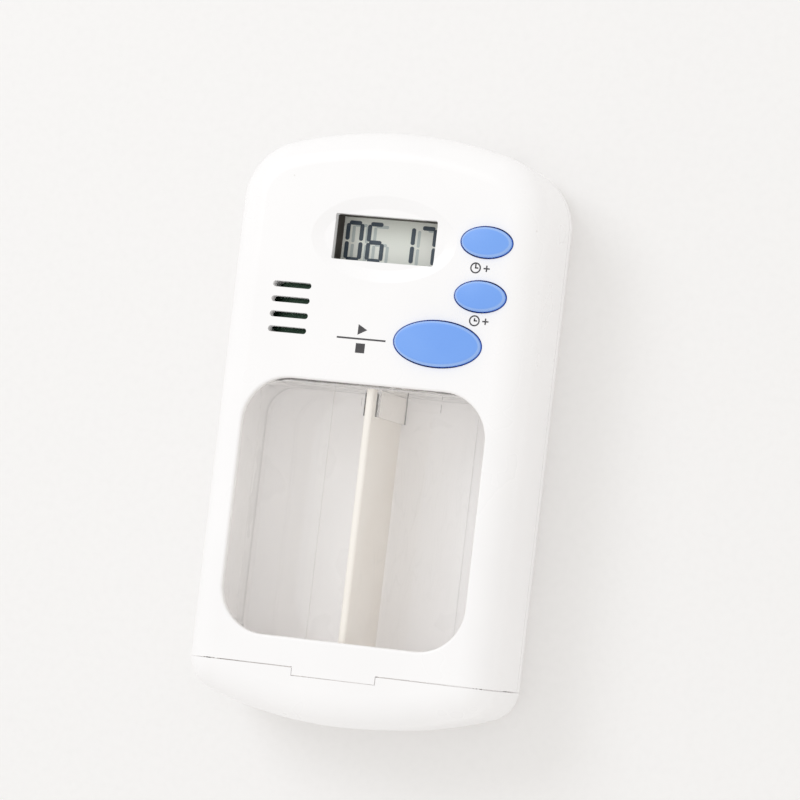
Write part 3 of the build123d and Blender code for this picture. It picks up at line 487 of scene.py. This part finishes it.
@dataclass(frozen=True)
class MouldedPlastic:
    """Opaque moulded plastic: fine grain, faint mottling, and edges that hands have polished. On caps, a pale
    ring on the round shoulder is a painted highlight.
    """

    name: str
    colour: Colour
    mottled: Colour
    edge: Colour
    roughness: float
    edge_roughness: float
    grain_depth: float
    wave_depth: float = 0.1
    edge_share: float = 0.5
    edge_reach: float = 0.3 * MM
    rim_highlight_share: float = 0.0
    rim_upper: Span = (0.97, 0.8)
    rim_lower: Span = (0.1, 0.5)
    dust: Colour = srgb(196, 190, 180)
    dust_share: float = 0.25
    specks_per_metre: float = 420.0
    speck_share: float = 0.05
    speck_width: float = 0.07
    unevenness: float = 0.06
    refraction: float = 1.5

    def highlight_rim(self, tree: Tree) -> Socket:
        """Marks the round shoulder of a cap, between its flat top and its upright side, where a painted
        highlight goes.

        Args:
            tree: the material's tree.

        Returns:
            The mask's socket, which follows how far the surface leans.
        """
        upward = tree.along(tree.add("TexCoord").outputs["Normal"], Axis.Z)
        return tree.math(Sum.MULTIPLY, tree.ramp(upward, *self.rim_upper), tree.ramp(upward, *self.rim_lower))

    def material(self) -> bpy.types.Material:
        """Builds the material.

        Returns:
            A material whose colour and roughness follow the mottling, the edges and a few dust specks, with a
            painted highlight on a cap's shoulder where one is asked for.
        """
        material, tree, shader, _ = new_material(self.name)
        skin = effect(tree, SharedEffect.MOULDED_SKIN, Grain_Depth=self.grain_depth,
                      Wave_Depth=self.wave_depth)
        edge = effect(tree, SharedEffect.ROUNDED_EDGE, Reach=self.edge_reach).outputs[0]
        # Painted highlight: the pale edge colour laid as a ring on the cap's shoulder.
        if self.rim_highlight_share:
            highlight_rim = tree.math(Sum.MULTIPLY, self.highlight_rim(tree), self.rim_highlight_share / self.edge_share)
            edge = tree.math(Sum.LARGER, edge, highlight_rim)
        specks = effect(tree, SharedEffect.FINE_SPECKS, Cells_per_Metre=self.specks_per_metre,
                        Share=self.speck_share, Width=self.speck_width).outputs[0]
        body = tree.blend(skin.outputs["Mottle"], self.colour, self.mottled)
        dusty = tree.blend(tree.math(Sum.MULTIPLY, specks, self.dust_share), body, self.dust)
        coloured = tree.blend(tree.math(Sum.MULTIPLY, edge, self.edge_share), dusty, self.edge)
        worn = tree.math(Sum.MULTIPLY, edge, self.edge_roughness - self.roughness)
        uneven = tree.math(Sum.MULTIPLY, skin.outputs["Mottle"], self.unevenness)
        rough = tree.math(Sum.ADD, tree.math(Sum.ADD, worn, uneven), self.roughness - self.unevenness / 2)
        tree.feed(shader, Base_Color=coloured, Roughness=rough, Normal=skin.outputs["Skin Normal"],
                  IOR=self.refraction)
        return material


@dataclass(frozen=True)
class ClearMoulding:
    """Clear moulded plastic: light passes, and the surface mirrors more the flatter it is looked at."""

    name: str
    passed: Colour
    haze: float
    haze_colour: Colour
    wave_depth: float = 0.08
    bends_light: bool = False
    patches_per_metre: float = 160.0
    grain_depth: float = 0.02
    refraction: float = 1.49
    bent_roughness: float = 0.02
    mirror_roughness: float = 0.03
    mark_roughness: float = 0.15
    mark_haze: float = 0.04

    def bent(self, tree: Tree, shader: bpy.types.Node) -> bpy.types.Node:
        """Makes the shader of a thick moulding, which refracts.

        Args:
            tree: the material's tree.
            shader: its Principled shader.

        Returns:
            The same shader.
        """
        return tree.feed(shader, Roughness=self.bent_roughness, IOR=self.refraction, Transmission_Weight=1.0)

    def mirrored(
        self, tree: Tree, shader: bpy.types.Node, clear: bpy.types.Node, marks: Socket, normal: Socket,
    ) -> bpy.types.Node:
        """Makes the shader of a thin moulding: see-through, under a mirror on its outer faces.

        Args:
            tree: the material's tree.
            shader: its Principled shader, which becomes the mirror.
            clear: the see-through shader.
            marks: mask of the hairline marks, which dull the mirror.
            normal: the skin's normal.

        Returns:
            The mixed shader.
        """
        dulled = tree.math(Sum.MULTIPLY, marks, self.mark_roughness)
        tree.feed(shader, Metallic=1.0, Roughness=tree.math(Sum.ADD, dulled, self.mirror_roughness))
        fresnel = tree.feed(tree.add("Fresnel"), IOR=self.refraction, Normal=normal)
        outside = tree.math(Sum.SUBTRACT, 1.0, tree.add("NewGeometry").outputs["Backfacing"])
        return tree.mix(tree.math(Sum.MULTIPLY, fresnel.outputs[0], outside), clear, shader)

    def material(self) -> bpy.types.Material:
        """Builds the material.

        Returns:
            A see-through shader under a Fresnel mirror, or a refracting one where the moulding is thick, with
            a thin milky haze, hairline marks and moulding waves. Lamps and bounced light pass it unbent.
        """
        material, tree, shader, output = new_material(self.name)
        skin = effect(tree, SharedEffect.MOULDED_SKIN, Patches_per_Metre=self.patches_per_metre,
                      Grain_Depth=self.grain_depth, Wave_Depth=self.wave_depth)
        normal = skin.outputs["Skin Normal"]
        marks = effect(tree, SharedEffect.HANDLING_MARKS).outputs[0]
        clear = tree.feed(tree.add("BsdfTransparent"), Color=self.passed)
        milk = tree.feed(tree.add("BsdfDiffuse"), Color=self.haze_colour)
        tree.feed(shader, Base_Color=self.passed, Normal=normal)
        if self.bends_light:
            surface = self.bent(tree, shader)
        else:
            surface = self.mirrored(tree, shader, clear, marks, normal)
        haze = tree.math(Sum.ADD, tree.math(Sum.MULTIPLY, marks, self.mark_haze), self.haze)
        hazy = tree.mix(haze, surface, milk)
        path = tree.add("LightPath")
        lit_through = tree.math(Sum.LARGER, path.outputs["Is Shadow Ray"], path.outputs["Is Diffuse Ray"])
        tree.put(tree.mix(lit_through, hazy, clear).outputs[0], output.inputs[0])
        return material


@dataclass(frozen=True)
class DisplayPanel:
    """Liquid crystal panel: a pale, faintly green reflector behind gloss glass."""

    name: str = "display_panel"
    middle: Colour = srgb(254, 255, 247)
    cool: Colour = srgb(251, 255, 246)
    grid: Colour = srgb(206, 214, 204)
    drifts_per_metre: float = 110.0
    drift_span: Span = (0.35, 0.65)
    cell: float = 0.3 * MM
    cell_gap: float = 0.012 * MM
    grid_share: float = 0.08
    roughness: float = 0.42
    glass_gloss: float = 0.35
    glass_roughness: float = 0.04

    def material(self) -> bpy.types.Material:
        """Builds the material.

        Returns:
            A reflector colour that drifts slowly across the panel, with the electrodes' fine lattice in it.
        """
        material, tree, shader, _ = new_material(self.name)
        place = tree.position()
        drift = tree.noise(place, self.drifts_per_metre, detail=2.0)
        lattice = tree.feed(tree.add("TexBrick", offset=0.0), Vector=place, Scale=1.0,
                            Mortar_Size=self.cell_gap, Brick_Width=self.cell, Row_Height=self.cell)
        body = tree.blend(tree.ramp(drift, *self.drift_span), self.middle, self.cool)
        lines = tree.math(Sum.MULTIPLY, lattice.outputs["Fac"], self.grid_share)
        tree.feed(shader, Base_Color=tree.blend(lines, body, self.grid), Roughness=self.roughness,
                  Coat_Weight=self.glass_gloss, Coat_Roughness=self.glass_roughness)
        return material


@dataclass(frozen=True)
class PrintedInk:
    """Ink or liquid crystal: flat colour broken by pinholes and a soft unevenness, with a little gloss."""

    name: str
    colour: Colour
    thin: Colour
    roughness: float
    pinhole_cells_per_metre: float = 9000.0
    pinhole_share: float = 0.12
    pinhole_width: float = 0.3
    patches_per_metre: float = 1500.0
    patch_span: Span = (0.45, 0.8)
    patch_share: float = 0.5

    def material(self) -> bpy.types.Material:
        """Builds the material.

        Returns:
            The ink's colour, thinner in patches and at pinholes.
        """
        material, tree, shader, _ = new_material(self.name)
        specks = effect(tree, SharedEffect.FINE_SPECKS, Cells_per_Metre=self.pinhole_cells_per_metre,
                        Share=self.pinhole_share, Width=self.pinhole_width).outputs[0]
        patches = tree.noise(tree.position(), self.patches_per_metre, detail=3.0)
        patchy = tree.math(Sum.MULTIPLY, tree.ramp(patches, *self.patch_span), self.patch_share)
        share = tree.math(Sum.LARGER, patchy, specks)
        tree.feed(shader, Base_Color=tree.blend(share, self.colour, self.thin), Roughness=self.roughness)
        return material


@dataclass(frozen=True)
class SheetMetal:
    """Rolled or plated metal: fine streaks along one direction, stains in patches and bright edges."""

    name: str
    colour: Colour
    stain: Colour
    roughness: float = 0.28
    streak: Point = (1.0, 12.0, 1.0)
    bright: Colour = (0.9, 0.9, 0.9)
    edge_reach: float = 0.12 * MM
    streaks_per_metre: float = 700.0
    streak_roughness: float = 0.22
    stains_per_metre: float = 180.0
    stain_span: Span = (0.45, 0.75)
    groove_strength: float = 0.15
    groove_height: float = 0.02 * MM

    def material(self) -> bpy.types.Material:
        """Builds the material.

        Returns:
            A metal whose roughness follows the streaks and whose colour follows the stains and edges.
        """
        material, tree, shader, _ = new_material(self.name)
        place = tree.position()
        stretched = tree.feed(tree.add("Mapping"), Vector=place, Scale=self.streak)
        streaks = tree.noise(stretched.outputs[0], self.streaks_per_metre, detail=3.0)
        stains = tree.noise(place, self.stains_per_metre, detail=4.0, roughness=0.6)
        edge = effect(tree, SharedEffect.ROUNDED_EDGE, Reach=self.edge_reach).outputs[0]
        body = tree.blend(tree.ramp(stains, *self.stain_span), self.colour, self.stain)
        streaky = tree.math(Sum.MULTIPLY, streaks, self.streak_roughness)
        rough = tree.math(Sum.ADD, streaky, self.roughness - self.streak_roughness / 2)
        grooves = tree.bump(streaks, self.groove_strength, self.groove_height)
        tree.feed(shader, Base_Color=tree.blend(edge, body, self.bright), Roughness=rough, Metallic=1.0,
                  Normal=grooves.outputs[0])
        return material


@dataclass(frozen=True)
class CircuitLacquer:
    """Green solder mask with raised copper tracks on a coarse lattice, and bare fibre at the cut edge."""

    name: str = "circuit_lacquer"
    mask: Colour = srgb(24, 92, 58)
    track: Colour = srgb(46, 128, 78)
    fibre: Colour = srgb(176, 160, 110)
    track_width: float = 0.18 * MM
    track_run: float = 2.6 * MM
    track_pitch: float = 1.1 * MM
    track_offset: float = 0.35
    track_squash: float = 0.6
    copper_strength: float = 0.5
    copper_height: float = 0.05 * MM
    fibres_per_metre: float = 1400.0
    fibre_roughness: float = 0.2
    roughness: float = 0.25
    side_slope: float = 0.5

    def material(self) -> bpy.types.Material:
        """Builds the material.

        Returns:
            A lacquer whose tracks stand proud and whose sides show the board's core.
        """
        material, tree, shader, _ = new_material(self.name)
        place = tree.position()
        routes = tree.feed(tree.add("TexBrick", offset=self.track_offset, squash=self.track_squash),
                           Vector=place, Scale=1.0, Mortar_Size=self.track_width,
                           Brick_Width=self.track_run, Row_Height=self.track_pitch).outputs["Fac"]
        fibres = tree.noise(place, self.fibres_per_metre, detail=2.0)
        upward = tree.along(tree.add("NewGeometry").outputs["True Normal"], Axis.Z)
        side = tree.math(Sum.BELOW, tree.math(Sum.SIZE, upward), self.side_slope)
        lacquer = tree.blend(routes, self.mask, self.track)
        bump = tree.bump(routes, self.copper_strength, self.copper_height)
        rough = tree.math(Sum.ADD, tree.math(Sum.MULTIPLY, fibres, self.fibre_roughness), self.roughness)
        tree.feed(shader, Base_Color=tree.blend(side, lacquer, self.fibre), Roughness=rough,
                  Normal=bump.outputs[0])
        return material


@dataclass(frozen=True)
class StripedRubber:
    """Contact strip: thin conducting layers between insulating ones, seen as stripes across its length."""

    name: str = "striped_rubber"
    dark: Colour = srgb(34, 34, 38)
    pale: Colour = srgb(196, 190, 196)
    pitch: float = 0.18 * MM
    stripe_middle: float = 0.5
    stripe_span: Span = (0.2, 0.3)
    grains_per_metre: float = 3000.0
    grain_strength: float = 0.2
    grain_height: float = 0.03 * MM
    roughness: float = 0.6
    sheen: float = 0.2

    def material(self) -> bpy.types.Material:
        """Builds the material.

        Returns:
            Stripes along X with a soft rubber sheen.
        """
        material, tree, shader, _ = new_material(self.name)
        place = tree.position()
        phase = tree.math(Sum.FRACTION, tree.math(Sum.DIVIDE, tree.along(place, Axis.X), self.pitch))
        off_middle = tree.math(Sum.SIZE, tree.math(Sum.SUBTRACT, phase, self.stripe_middle))
        stripe = tree.ramp(off_middle, *self.stripe_span)
        grain = tree.noise(place, self.grains_per_metre, detail=2.0)
        bump = tree.bump(grain, self.grain_strength, self.grain_height)
        tree.feed(shader, Base_Color=tree.blend(stripe, self.dark, self.pale), Roughness=self.roughness,
                  Normal=bump.outputs[0], Sheen_Weight=self.sheen)
        return material


@dataclass(frozen=True)
class StudioPaper:
    """Pale studio paper under the box: faint fibres, and the box's shadow falls on it."""

    name: str = "studio_paper"
    colour: Colour = srgb(246, 245, 244)
    fibre: Colour = srgb(244, 243, 242)
    fibres_per_metre: float = 900.0
    fibre_span: Span = (0.3, 0.9)
    fibre_strength: float = 0.02
    fibre_height: float = 0.05 * MM
    roughness: float = 0.9

    def material(self) -> bpy.types.Material:
        """Builds the material.

        Returns:
            A matt pale paper.
        """
        material, tree, shader, _ = new_material(self.name)
        fibres = tree.noise(tree.position(), self.fibres_per_metre, detail=3.0)
        bump = tree.bump(fibres, self.fibre_strength, self.fibre_height)
        body = tree.blend(tree.ramp(fibres, *self.fibre_span), self.colour, self.fibre)
        tree.feed(shader, Base_Color=body, Roughness=self.roughness, Normal=bump.outputs[0])
        return material


class Finish(Enum):
    """Every finish on the box, and the paper under it."""

    CASE = MouldedPlastic(
        "case_white", srgb(252, 251, 251), srgb(250, 249, 249), srgb(253, 253, 252),
        roughness=0.3, edge_roughness=0.2, grain_depth=0.1, wave_depth=0.06,
    )
    DIVIDER = MouldedPlastic(
        "divider_white", srgb(250, 245, 237), srgb(247, 241, 232), srgb(252, 250, 246),
        roughness=0.4, edge_roughness=0.25, grain_depth=0.15,
    )
    # Buttons: the pale edge colour on the polished edges and the shoulder ring is partly wear and partly a
    # painted highlight.
    BUTTON = MouldedPlastic(
        "button_blue", srgb(120, 169, 245), srgb(114, 164, 243), srgb(190, 216, 252),
        roughness=0.38, edge_roughness=0.3, grain_depth=0.3, wave_depth=0.05, rim_highlight_share=0.4,
    )
    # Dark frame lining the display opening: its brown copies the shade seen in that opening, so it is partly
    # painted shade.
    FRAME = MouldedPlastic(
        "frame_black", srgb(66, 57, 48), srgb(56, 49, 42), srgb(110, 98, 86),
        roughness=0.5, edge_roughness=0.35, grain_depth=0.3,
    )
    SWITCH = MouldedPlastic(
        "switch_black", srgb(36, 36, 38), srgb(30, 30, 32), srgb(80, 80, 82),
        roughness=0.45, edge_roughness=0.3, grain_depth=0.3,
    )
    CHIP = MouldedPlastic(
        "chip_resin", srgb(24, 24, 26), srgb(18, 18, 20), srgb(40, 40, 42),
        roughness=0.25, edge_roughness=0.2, grain_depth=0.4, wave_depth=0.4,
    )
    LEAD = MouldedPlastic(
        "lead_red", srgb(168, 34, 28), srgb(150, 28, 24), srgb(196, 60, 50),
        roughness=0.4, edge_roughness=0.3, grain_depth=0.2,
    )
    CERAMIC = MouldedPlastic(
        "silvered_ceramic", srgb(222, 220, 214), srgb(206, 204, 198), srgb(236, 236, 232),
        roughness=0.45, edge_roughness=0.35, grain_depth=0.5,
    )
    TRAY = ClearMoulding(
        "tray_clear", (0.999, 0.999, 0.999), haze=0.02, haze_colour=srgb(255, 254, 252),
        wave_depth=0.14, bends_light=True,
    )
    PANE = ClearMoulding("pane_clear", (0.999, 0.999, 0.999), haze=0.03, haze_colour=srgb(254, 254, 254))
    DISPLAY = DisplayPanel()
    DIGIT = PrintedInk("crystal_dark", srgb(66, 80, 92), srgb(86, 100, 110), roughness=0.35)
    DIGIT_SHADOW = PrintedInk("crystal_shadow", srgb(204, 214, 212), srgb(214, 222, 218), roughness=0.5)
    SIGN = PrintedInk("sign_ink", srgb(66, 64, 66), srgb(96, 94, 96), roughness=0.55)
    STEEL = SheetMetal("plated_steel", (0.72, 0.71, 0.69), (0.58, 0.56, 0.52))
    SCREW = SheetMetal(
        "screw_steel", (0.62, 0.62, 0.64), (0.46, 0.45, 0.44), roughness=0.35, streak=(6.0, 1.0, 1.0),
    )
    SOUNDER = SheetMetal("sounder_plate", (0.062, 0.105, 0.074), (0.03, 0.055, 0.04), roughness=0.4)
    BOARD = CircuitLacquer()
    RUBBER = StripedRubber()
    PAPER = StudioPaper()

    @property
    def material(self) -> bpy.types.Material:
        """The finish's material, built the first time it is asked for."""
        return bpy.data.materials.get(f"{self.value.name}_finish") or self.value.material()


NODE_FINISHES = {
    Finish.CASE: ("front_shell", "back_shell", "end_cap", "battery_door"),
    Finish.TRAY: ("drawer_tray",),
    Finish.PANE: ("window_pane",),
    Finish.DIVIDER: ("drawer_divider",),
    Finish.BUTTON: ("minute_button", "hour_button", "start_stop_button"),
    Finish.DISPLAY: ("lcd_glass",),
    Finish.FRAME: ("lcd_frame",),
    Finish.RUBBER: ("zebra_strip",),
    Finish.BOARD: ("circuit_board",),
    Finish.CHIP: ("clock_chip",),
    Finish.STEEL: ("crystal_can", "button_cell_left", "button_cell_right", "cell_contact_left",
                   "cell_contact_right", "cell_bridge"),
    Finish.SCREW: ("case_screws", "board_screws"),
    Finish.SOUNDER: ("buzzer_plate",),
    Finish.CERAMIC: ("buzzer_ceramic",),
    Finish.LEAD: ("buzzer_leads",),
    Finish.SWITCH: ("minute_switch", "hour_switch", "start_stop_switch", "minute_plunger", "hour_plunger",
                    "start_stop_plunger"),
}


def finish_nodes() -> None:
    """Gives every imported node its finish."""
    for finish, names in NODE_FINISHES.items():
        for name in names:
            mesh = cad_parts[name].data
            mesh.materials.clear()
            mesh.materials.append(finish.material)
        LOG.info("finish %s on %s", finish.value.name, ", ".join(names))


# Mesh making


def mesh_object(name: str, points: np.ndarray, faces: list[list[int]], finish: Finish) -> bpy.types.Object:
    """Makes an object with flat faces from points and faces.

    Args:
        name: the object's name.
        points: corner places in millimetres, one row each.
        faces: corner numbers of each face, counter-clockwise from outside.
        finish: the object's finish.

    Returns:
        The new object, at the origin.
    """
    mesh = bpy.data.meshes.new(name)
    mesh.from_pydata((np.asarray(points, float) * MM).tolist(), [], faces)
    mesh.validate()
    mesh.materials.append(finish.material)
    made = bpy.data.objects.new(name, mesh)
    bpy.context.scene.collection.objects.link(made)
    LOG.info("piece %s: %d faces", name, len(faces))
    return made


def plates(outlines: list[np.ndarray], base: float, thickness: float) -> tuple[np.ndarray, list[list[int]]]:
    """Turns flat outlines into thin plates.

    Each outline is a ring of points, counter-clockwise from above. It is repeated thickness higher, the two
    rings become the lower and upper face, and neighbouring points are joined into the side faces.

    Args:
        outlines: outlines in millimetres, as arrays of x and y.
        base: height of the lower face.
        thickness: thickness of the plates.

    Returns:
        The corners and the faces of all plates.
    """
    points, faces, start = [], [], 0
    for ring in outlines:
        count = len(ring)
        low = np.column_stack([ring, np.full(count, base)])
        points += [low, low + (0.0, 0.0, thickness)]
        here = start + np.arange(count)
        following = np.roll(here, -1)
        faces.append((here + count).tolist())
        faces.append(here[::-1].tolist())
        faces += np.column_stack([here, following, following + count, here + count]).tolist()
        start += 2 * count
    return np.vstack(points), faces


# Sub-assemblies


class Segment(Enum):
    """The seven bars of a digit."""

    TOP = "a"
    HIGH_RIGHT = "b"
    LOW_RIGHT = "c"
    BOTTOM = "d"
    LOW_LEFT = "e"
    HIGH_LEFT = "f"
    MIDDLE = "g"


BARS_OF = {"0": "abcdef", "1": "bc", "6": "acdefg", "7": "abc"}


@dataclass
class Display:
    """Digits of the display, and the shadow that they throw on the reflector behind them."""

    shown: str = "0617"
    columns: tuple[float, ...] = (-5.94, -2.75, 1.73, 4.93)
    middle_height: float = 26.4
    half_width: float = 1.02
    half_height: float = 2.6
    bar: float = 0.6
    gap: float = 0.2
    tip_share: float = 0.45
    tip_steps: int = 5
    film: float = 0.02
    shadow_shift: Place = (0.85, -0.3)
    shadow_bar: float = 0.45

    def bar_outline(self, start: np.ndarray, end: np.ndarray, width: float) -> np.ndarray:
        """Outlines one bar, pointed and slightly rounded at both ends.

        The bar runs from start to end, less half the gap at each end. Its half width grows from nothing at a
        tip to the full value along a quarter ellipse.

        Args:
            start: where the bar's line starts.
            end: where the bar's line ends.
            width: the bar's full width.

        Returns:
            The outline, counter-clockwise.
        """
        line = end - start
        length = float(np.hypot(*line)) - self.gap
        along = line / np.hypot(*line)
        across = np.array([-along[1], along[0]])
        rise = np.linspace(0.0, np.pi / 2.0, self.tip_steps)
        tip = length / 2 - self.tip_share * width * (1 - np.cos(rise))
        ahead = np.concatenate([-tip, tip[::-1]])
        aside = width / 2 * np.concatenate([np.sin(rise), np.sin(rise[::-1])])
        upper = np.column_stack([ahead, aside])[1:-1][::-1]
        lower = np.column_stack([ahead, -aside])
        ring = np.vstack([lower, upper])
        return (start + end) / 2 + ring[:, :1] * along + ring[:, 1:] * across

    def outlines(self, width: float, shift: Place) -> list[np.ndarray]:
        """Outlines every lit bar.

        Args:
            width: width of the bars.
            shift: how far the digits are moved.

        Returns:
            One outline for each lit bar.
        """
        left, right = -self.half_width, self.half_width
        low, middle, high = -self.half_height, 0.0, self.half_height
        ends = {
            Segment.TOP: ((left, high), (right, high)),
            Segment.MIDDLE: ((left, middle), (right, middle)),
            Segment.BOTTOM: ((left, low), (right, low)),
            Segment.HIGH_LEFT: ((left, middle), (left, high)),
            Segment.HIGH_RIGHT: ((right, middle), (right, high)),
            Segment.LOW_LEFT: ((left, low), (left, middle)),
            Segment.LOW_RIGHT: ((right, low), (right, middle)),
        }
        made = []
        for figure, column in zip(self.shown, self.columns):
            centre = np.array([column, self.middle_height]) + shift
            for letter in BARS_OF[figure]:
                start, end = ends[Segment(letter)]
                made.append(self.bar_outline(centre + start, centre + end, width))
        return made

    def build(self) -> None:
        """Builds the digits just above the glass and their shadow under them."""
        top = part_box("lcd_glass")[1].z / MM
        shadows = self.outlines(self.shadow_bar, self.shadow_shift)
        digits = self.outlines(self.bar, (0.0, 0.0))
        pieces = (
            mesh_object("display_shadows", *plates(shadows, top, self.film / 2), Finish.DIGIT_SHADOW),
            mesh_object("display_digits", *plates(digits, top + self.film, self.film), Finish.DIGIT),
        )
        for piece in pieces:
            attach(piece, Body.HOUSING.value)


@dataclass
class Signs:
    """Printed signs: start over stop beside the large button, and a clock under each small one."""

    ink: float = 0.012
    start_stop: Place = (-1.6, 12.24)
    rule_length: float = 7.2
    rule_width: float = 0.24
    sign_height: float = 1.5
    sign_offset: float = 1.3
    triangle_back: float = 0.8
    square_share: float = 0.9
    minute: Place = (14.6, 23.55)
    hour: Place = (15.3, 16.2)
    dial_radius: float = 0.68
    dial_bars: int = 32
    dial_offset: float = 0.8
    stroke: float = 0.2
    plus_length: float = 0.9
    minute_hand: float = 0.62
    hour_hand: float = 0.36
    level_hand: float = 0.3

    def rectangle(self, x: float, y: float, width: float, height: float) -> np.ndarray:
        """Outline of an upright rectangle round a centre."""
        return np.array([x, y]) + SQUARE * (width / 2, height / 2)

    def dial(self, x: float, y: float) -> list[np.ndarray]:
        """Outlines a dial's ring as short joined bars.

        Two circles, half a stroke inside and outside the radius, are divided at the same angles, and each
        pair of neighbouring angles gives one four-cornered bar.

        Args:
            x: centre across the face.
            y: centre along the face.

        Returns:
            The bars' outlines.
        """
        angle = np.linspace(0.0, 2.0 * np.pi, self.dial_bars + 1)
        circle = np.column_stack([np.cos(angle), np.sin(angle)])
        inner = circle * (self.dial_radius - self.stroke / 2)
        outer = circle * (self.dial_radius + self.stroke / 2)
        bars = np.stack([inner[:-1], outer[:-1], outer[1:], inner[1:]], axis=1)
        return list(bars + np.array([x, y]))

    def clock(self, place: Place, hand: float) -> list[np.ndarray]:
        """Outlines a small clock with an upright and a level hand, and a plus beside it.

        Args:
            place: middle of the sign.
            hand: length of the upright hand.

        Returns:
            The outlines.
        """
        x, y = place
        left, right = x - self.dial_offset, x + self.dial_offset
        arm = (self.plus_length - self.stroke) / 2
        arm_middle = (self.plus_length + self.stroke) / 4
        return [
            *self.dial(left, y),
            self.rectangle(left, y + hand / 2, self.stroke, hand),
            self.rectangle(left + self.level_hand / 2, y, self.level_hand + self.stroke, self.stroke),
            self.rectangle(right, y, self.plus_length, self.stroke),
            self.rectangle(right, y + arm_middle, self.stroke, arm),
            self.rectangle(right, y - arm_middle, self.stroke, arm),
        ]

    def start_over_stop(self) -> list[np.ndarray]:
        """Outlines a triangle over a line over a square.

        Returns:
            The outlines.
        """
        x, y = self.start_stop
        half = self.sign_height / 2
        back = -self.triangle_back * half
        side = self.square_share * self.sign_height
        triangle = np.array([[back, -half], [half, 0.0], [back, half]]) + (x, y + self.sign_offset)
        return [
            triangle,
            self.rectangle(x, y, self.rule_length, self.rule_width),
            self.rectangle(x, y - self.sign_offset, side, side),
        ]

    def build(self) -> None:
        """Prints the three signs on the face."""
        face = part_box("front_shell")[1].z / MM
        groups = {
            "start_stop_sign": self.start_over_stop(),
            "minute_sign": self.clock(self.minute, self.minute_hand),
            "hour_sign": self.clock(self.hour, self.hour_hand),
        }
        for name, outlines in groups.items():
            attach(mesh_object(name, *plates(outlines, face, self.ink), Finish.SIGN), Body.HOUSING.value)


@dataclass
class Studio:
    """Floor, lamp, sky and camera."""

    azimuth: float = 17.634
    elevation: float = 3.027
    roll: float = 6.632
    distance: float = 555.6
    target: Point = (0.0, -0.35, 9.5)
    lens: float = 176.29
    sensor_width: float = 36.0
    shift: Span = (0.0230, 0.0440)
    clip: Span = (0.01, 20.0)
    floor_size: float = 6000.0
    floor_height: float = -0.02
    key_from: Point = (-0.486, 0.439, 0.76)
    key_distance: float = 900.0
    key_size: float = 420.0
    key_watts: float = 1.3
    key_tint: Colour = (0.95, 1.0, 1.06)
    sky: float = 0.89
    sky_tint: Colour = (1.0, 0.988, 0.972)
    clear_layers: int = 48
    bounces: int = 40

    def axes(self) -> tuple[np.ndarray, np.ndarray, np.ndarray]:
        """Directions towards the camera, to the picture's right and to its top.

        The camera stands at azimuth and elevation from the face's own axis, and is rolled about its line of
        sight.

        Returns:
            The three unit directions.
        """
        az, el, roll = (math.radians(angle) for angle in (self.azimuth, self.elevation, self.roll))
        back = np.array([math.sin(az) * math.cos(el), -math.sin(el), math.cos(az) * math.cos(el)])
        level = np.array([math.cos(az), 0.0, -math.sin(az)])
        upright = np.cross(back, level)
        right = level * math.cos(roll) + upright * math.sin(roll)
        up = upright * math.cos(roll) - level * math.sin(roll)
        return back, right, up

    def camera(self) -> None:
        """Sets up the camera at the photograph's viewing angle."""
        back, right, up = self.axes()
        data = bpy.data.cameras.new("camera")
        data.lens, data.sensor_width = self.lens, self.sensor_width
        data.shift_x, data.shift_y = self.shift
        data.clip_start, data.clip_end = self.clip
        seat = np.eye(4)
        seat[:3, :3] = np.column_stack([right, up, back])
        seat[:3, 3] = (np.array(self.target) + back * self.distance) * MM
        made = bpy.data.objects.new("camera", data)
        made.matrix_world = Matrix(seat.tolist())
        bpy.context.scene.collection.objects.link(made)
        bpy.context.scene.camera = made

    def floor(self) -> None:
        """Lays the pale paper that the box lies on."""
        corners = np.column_stack([SQUARE * self.floor_size / 2, np.full(len(SQUARE), self.floor_height)])
        mesh_object("floor", corners, [[0, 1, 2, 3]], Finish.PAPER)

    def key_lamp(self) -> None:
        """Hangs the square soft lamp that faces the box."""
        data = bpy.data.lights.new("key", "AREA")
        data.size, data.energy, data.color = self.key_size * MM, self.key_watts, self.key_tint
        made = bpy.data.objects.new("key", data)
        direction = Vector(self.key_from).normalized()
        made.location = direction * self.key_distance * MM
        made.rotation_mode = "QUATERNION"
        made.rotation_quaternion = direction.to_track_quat("Z", "Y")
        bpy.context.scene.collection.objects.link(made)

    def world(self) -> None:
        """Sets an even sky, which looks white behind the box and in its mirrors."""
        world = bpy.data.worlds.new("sky")
        world.use_nodes = True
        nodes = world.node_tree.nodes
        tree = Tree(world.node_tree)
        light = tree.feed(nodes["Background"], Color=self.sky_tint, Strength=self.sky)
        shown = tree.feed(tree.add("Background"), Color=WHITE, Strength=1.0)
        path = tree.add("LightPath")
        reached = tree.math(Sum.LARGER, path.outputs["Is Glossy Ray"], path.outputs["Is Transmission Ray"])
        seen = tree.math(Sum.LARGER, path.outputs["Is Camera Ray"], reached)
        tree.put(tree.mix(seen, light, shown).outputs[0], nodes["World Output"].inputs[0])
        bpy.context.scene.world = world

    def build(self) -> None:
        """Builds the studio, and lets light through all the clear layers and into the drawer's white bay."""
        self.camera()
        self.floor()
        self.key_lamp()
        self.world()
        bpy.context.scene.view_settings.view_transform = "Standard"
        bpy.context.scene.cycles.transparent_max_bounces = self.clear_layers
        bpy.context.scene.cycles.max_bounces = self.bounces
        bpy.context.scene.cycles.diffuse_bounces = self.bounces
        LOG.info("studio ready")


def main() -> None:
    """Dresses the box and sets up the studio."""
    logging.basicConfig(level=logging.INFO, format="%(name)s: %(message)s")
    finish_nodes()
    Display().build()
    Signs().build()
    Studio().build()


if __name__ == "__main__":
    main()
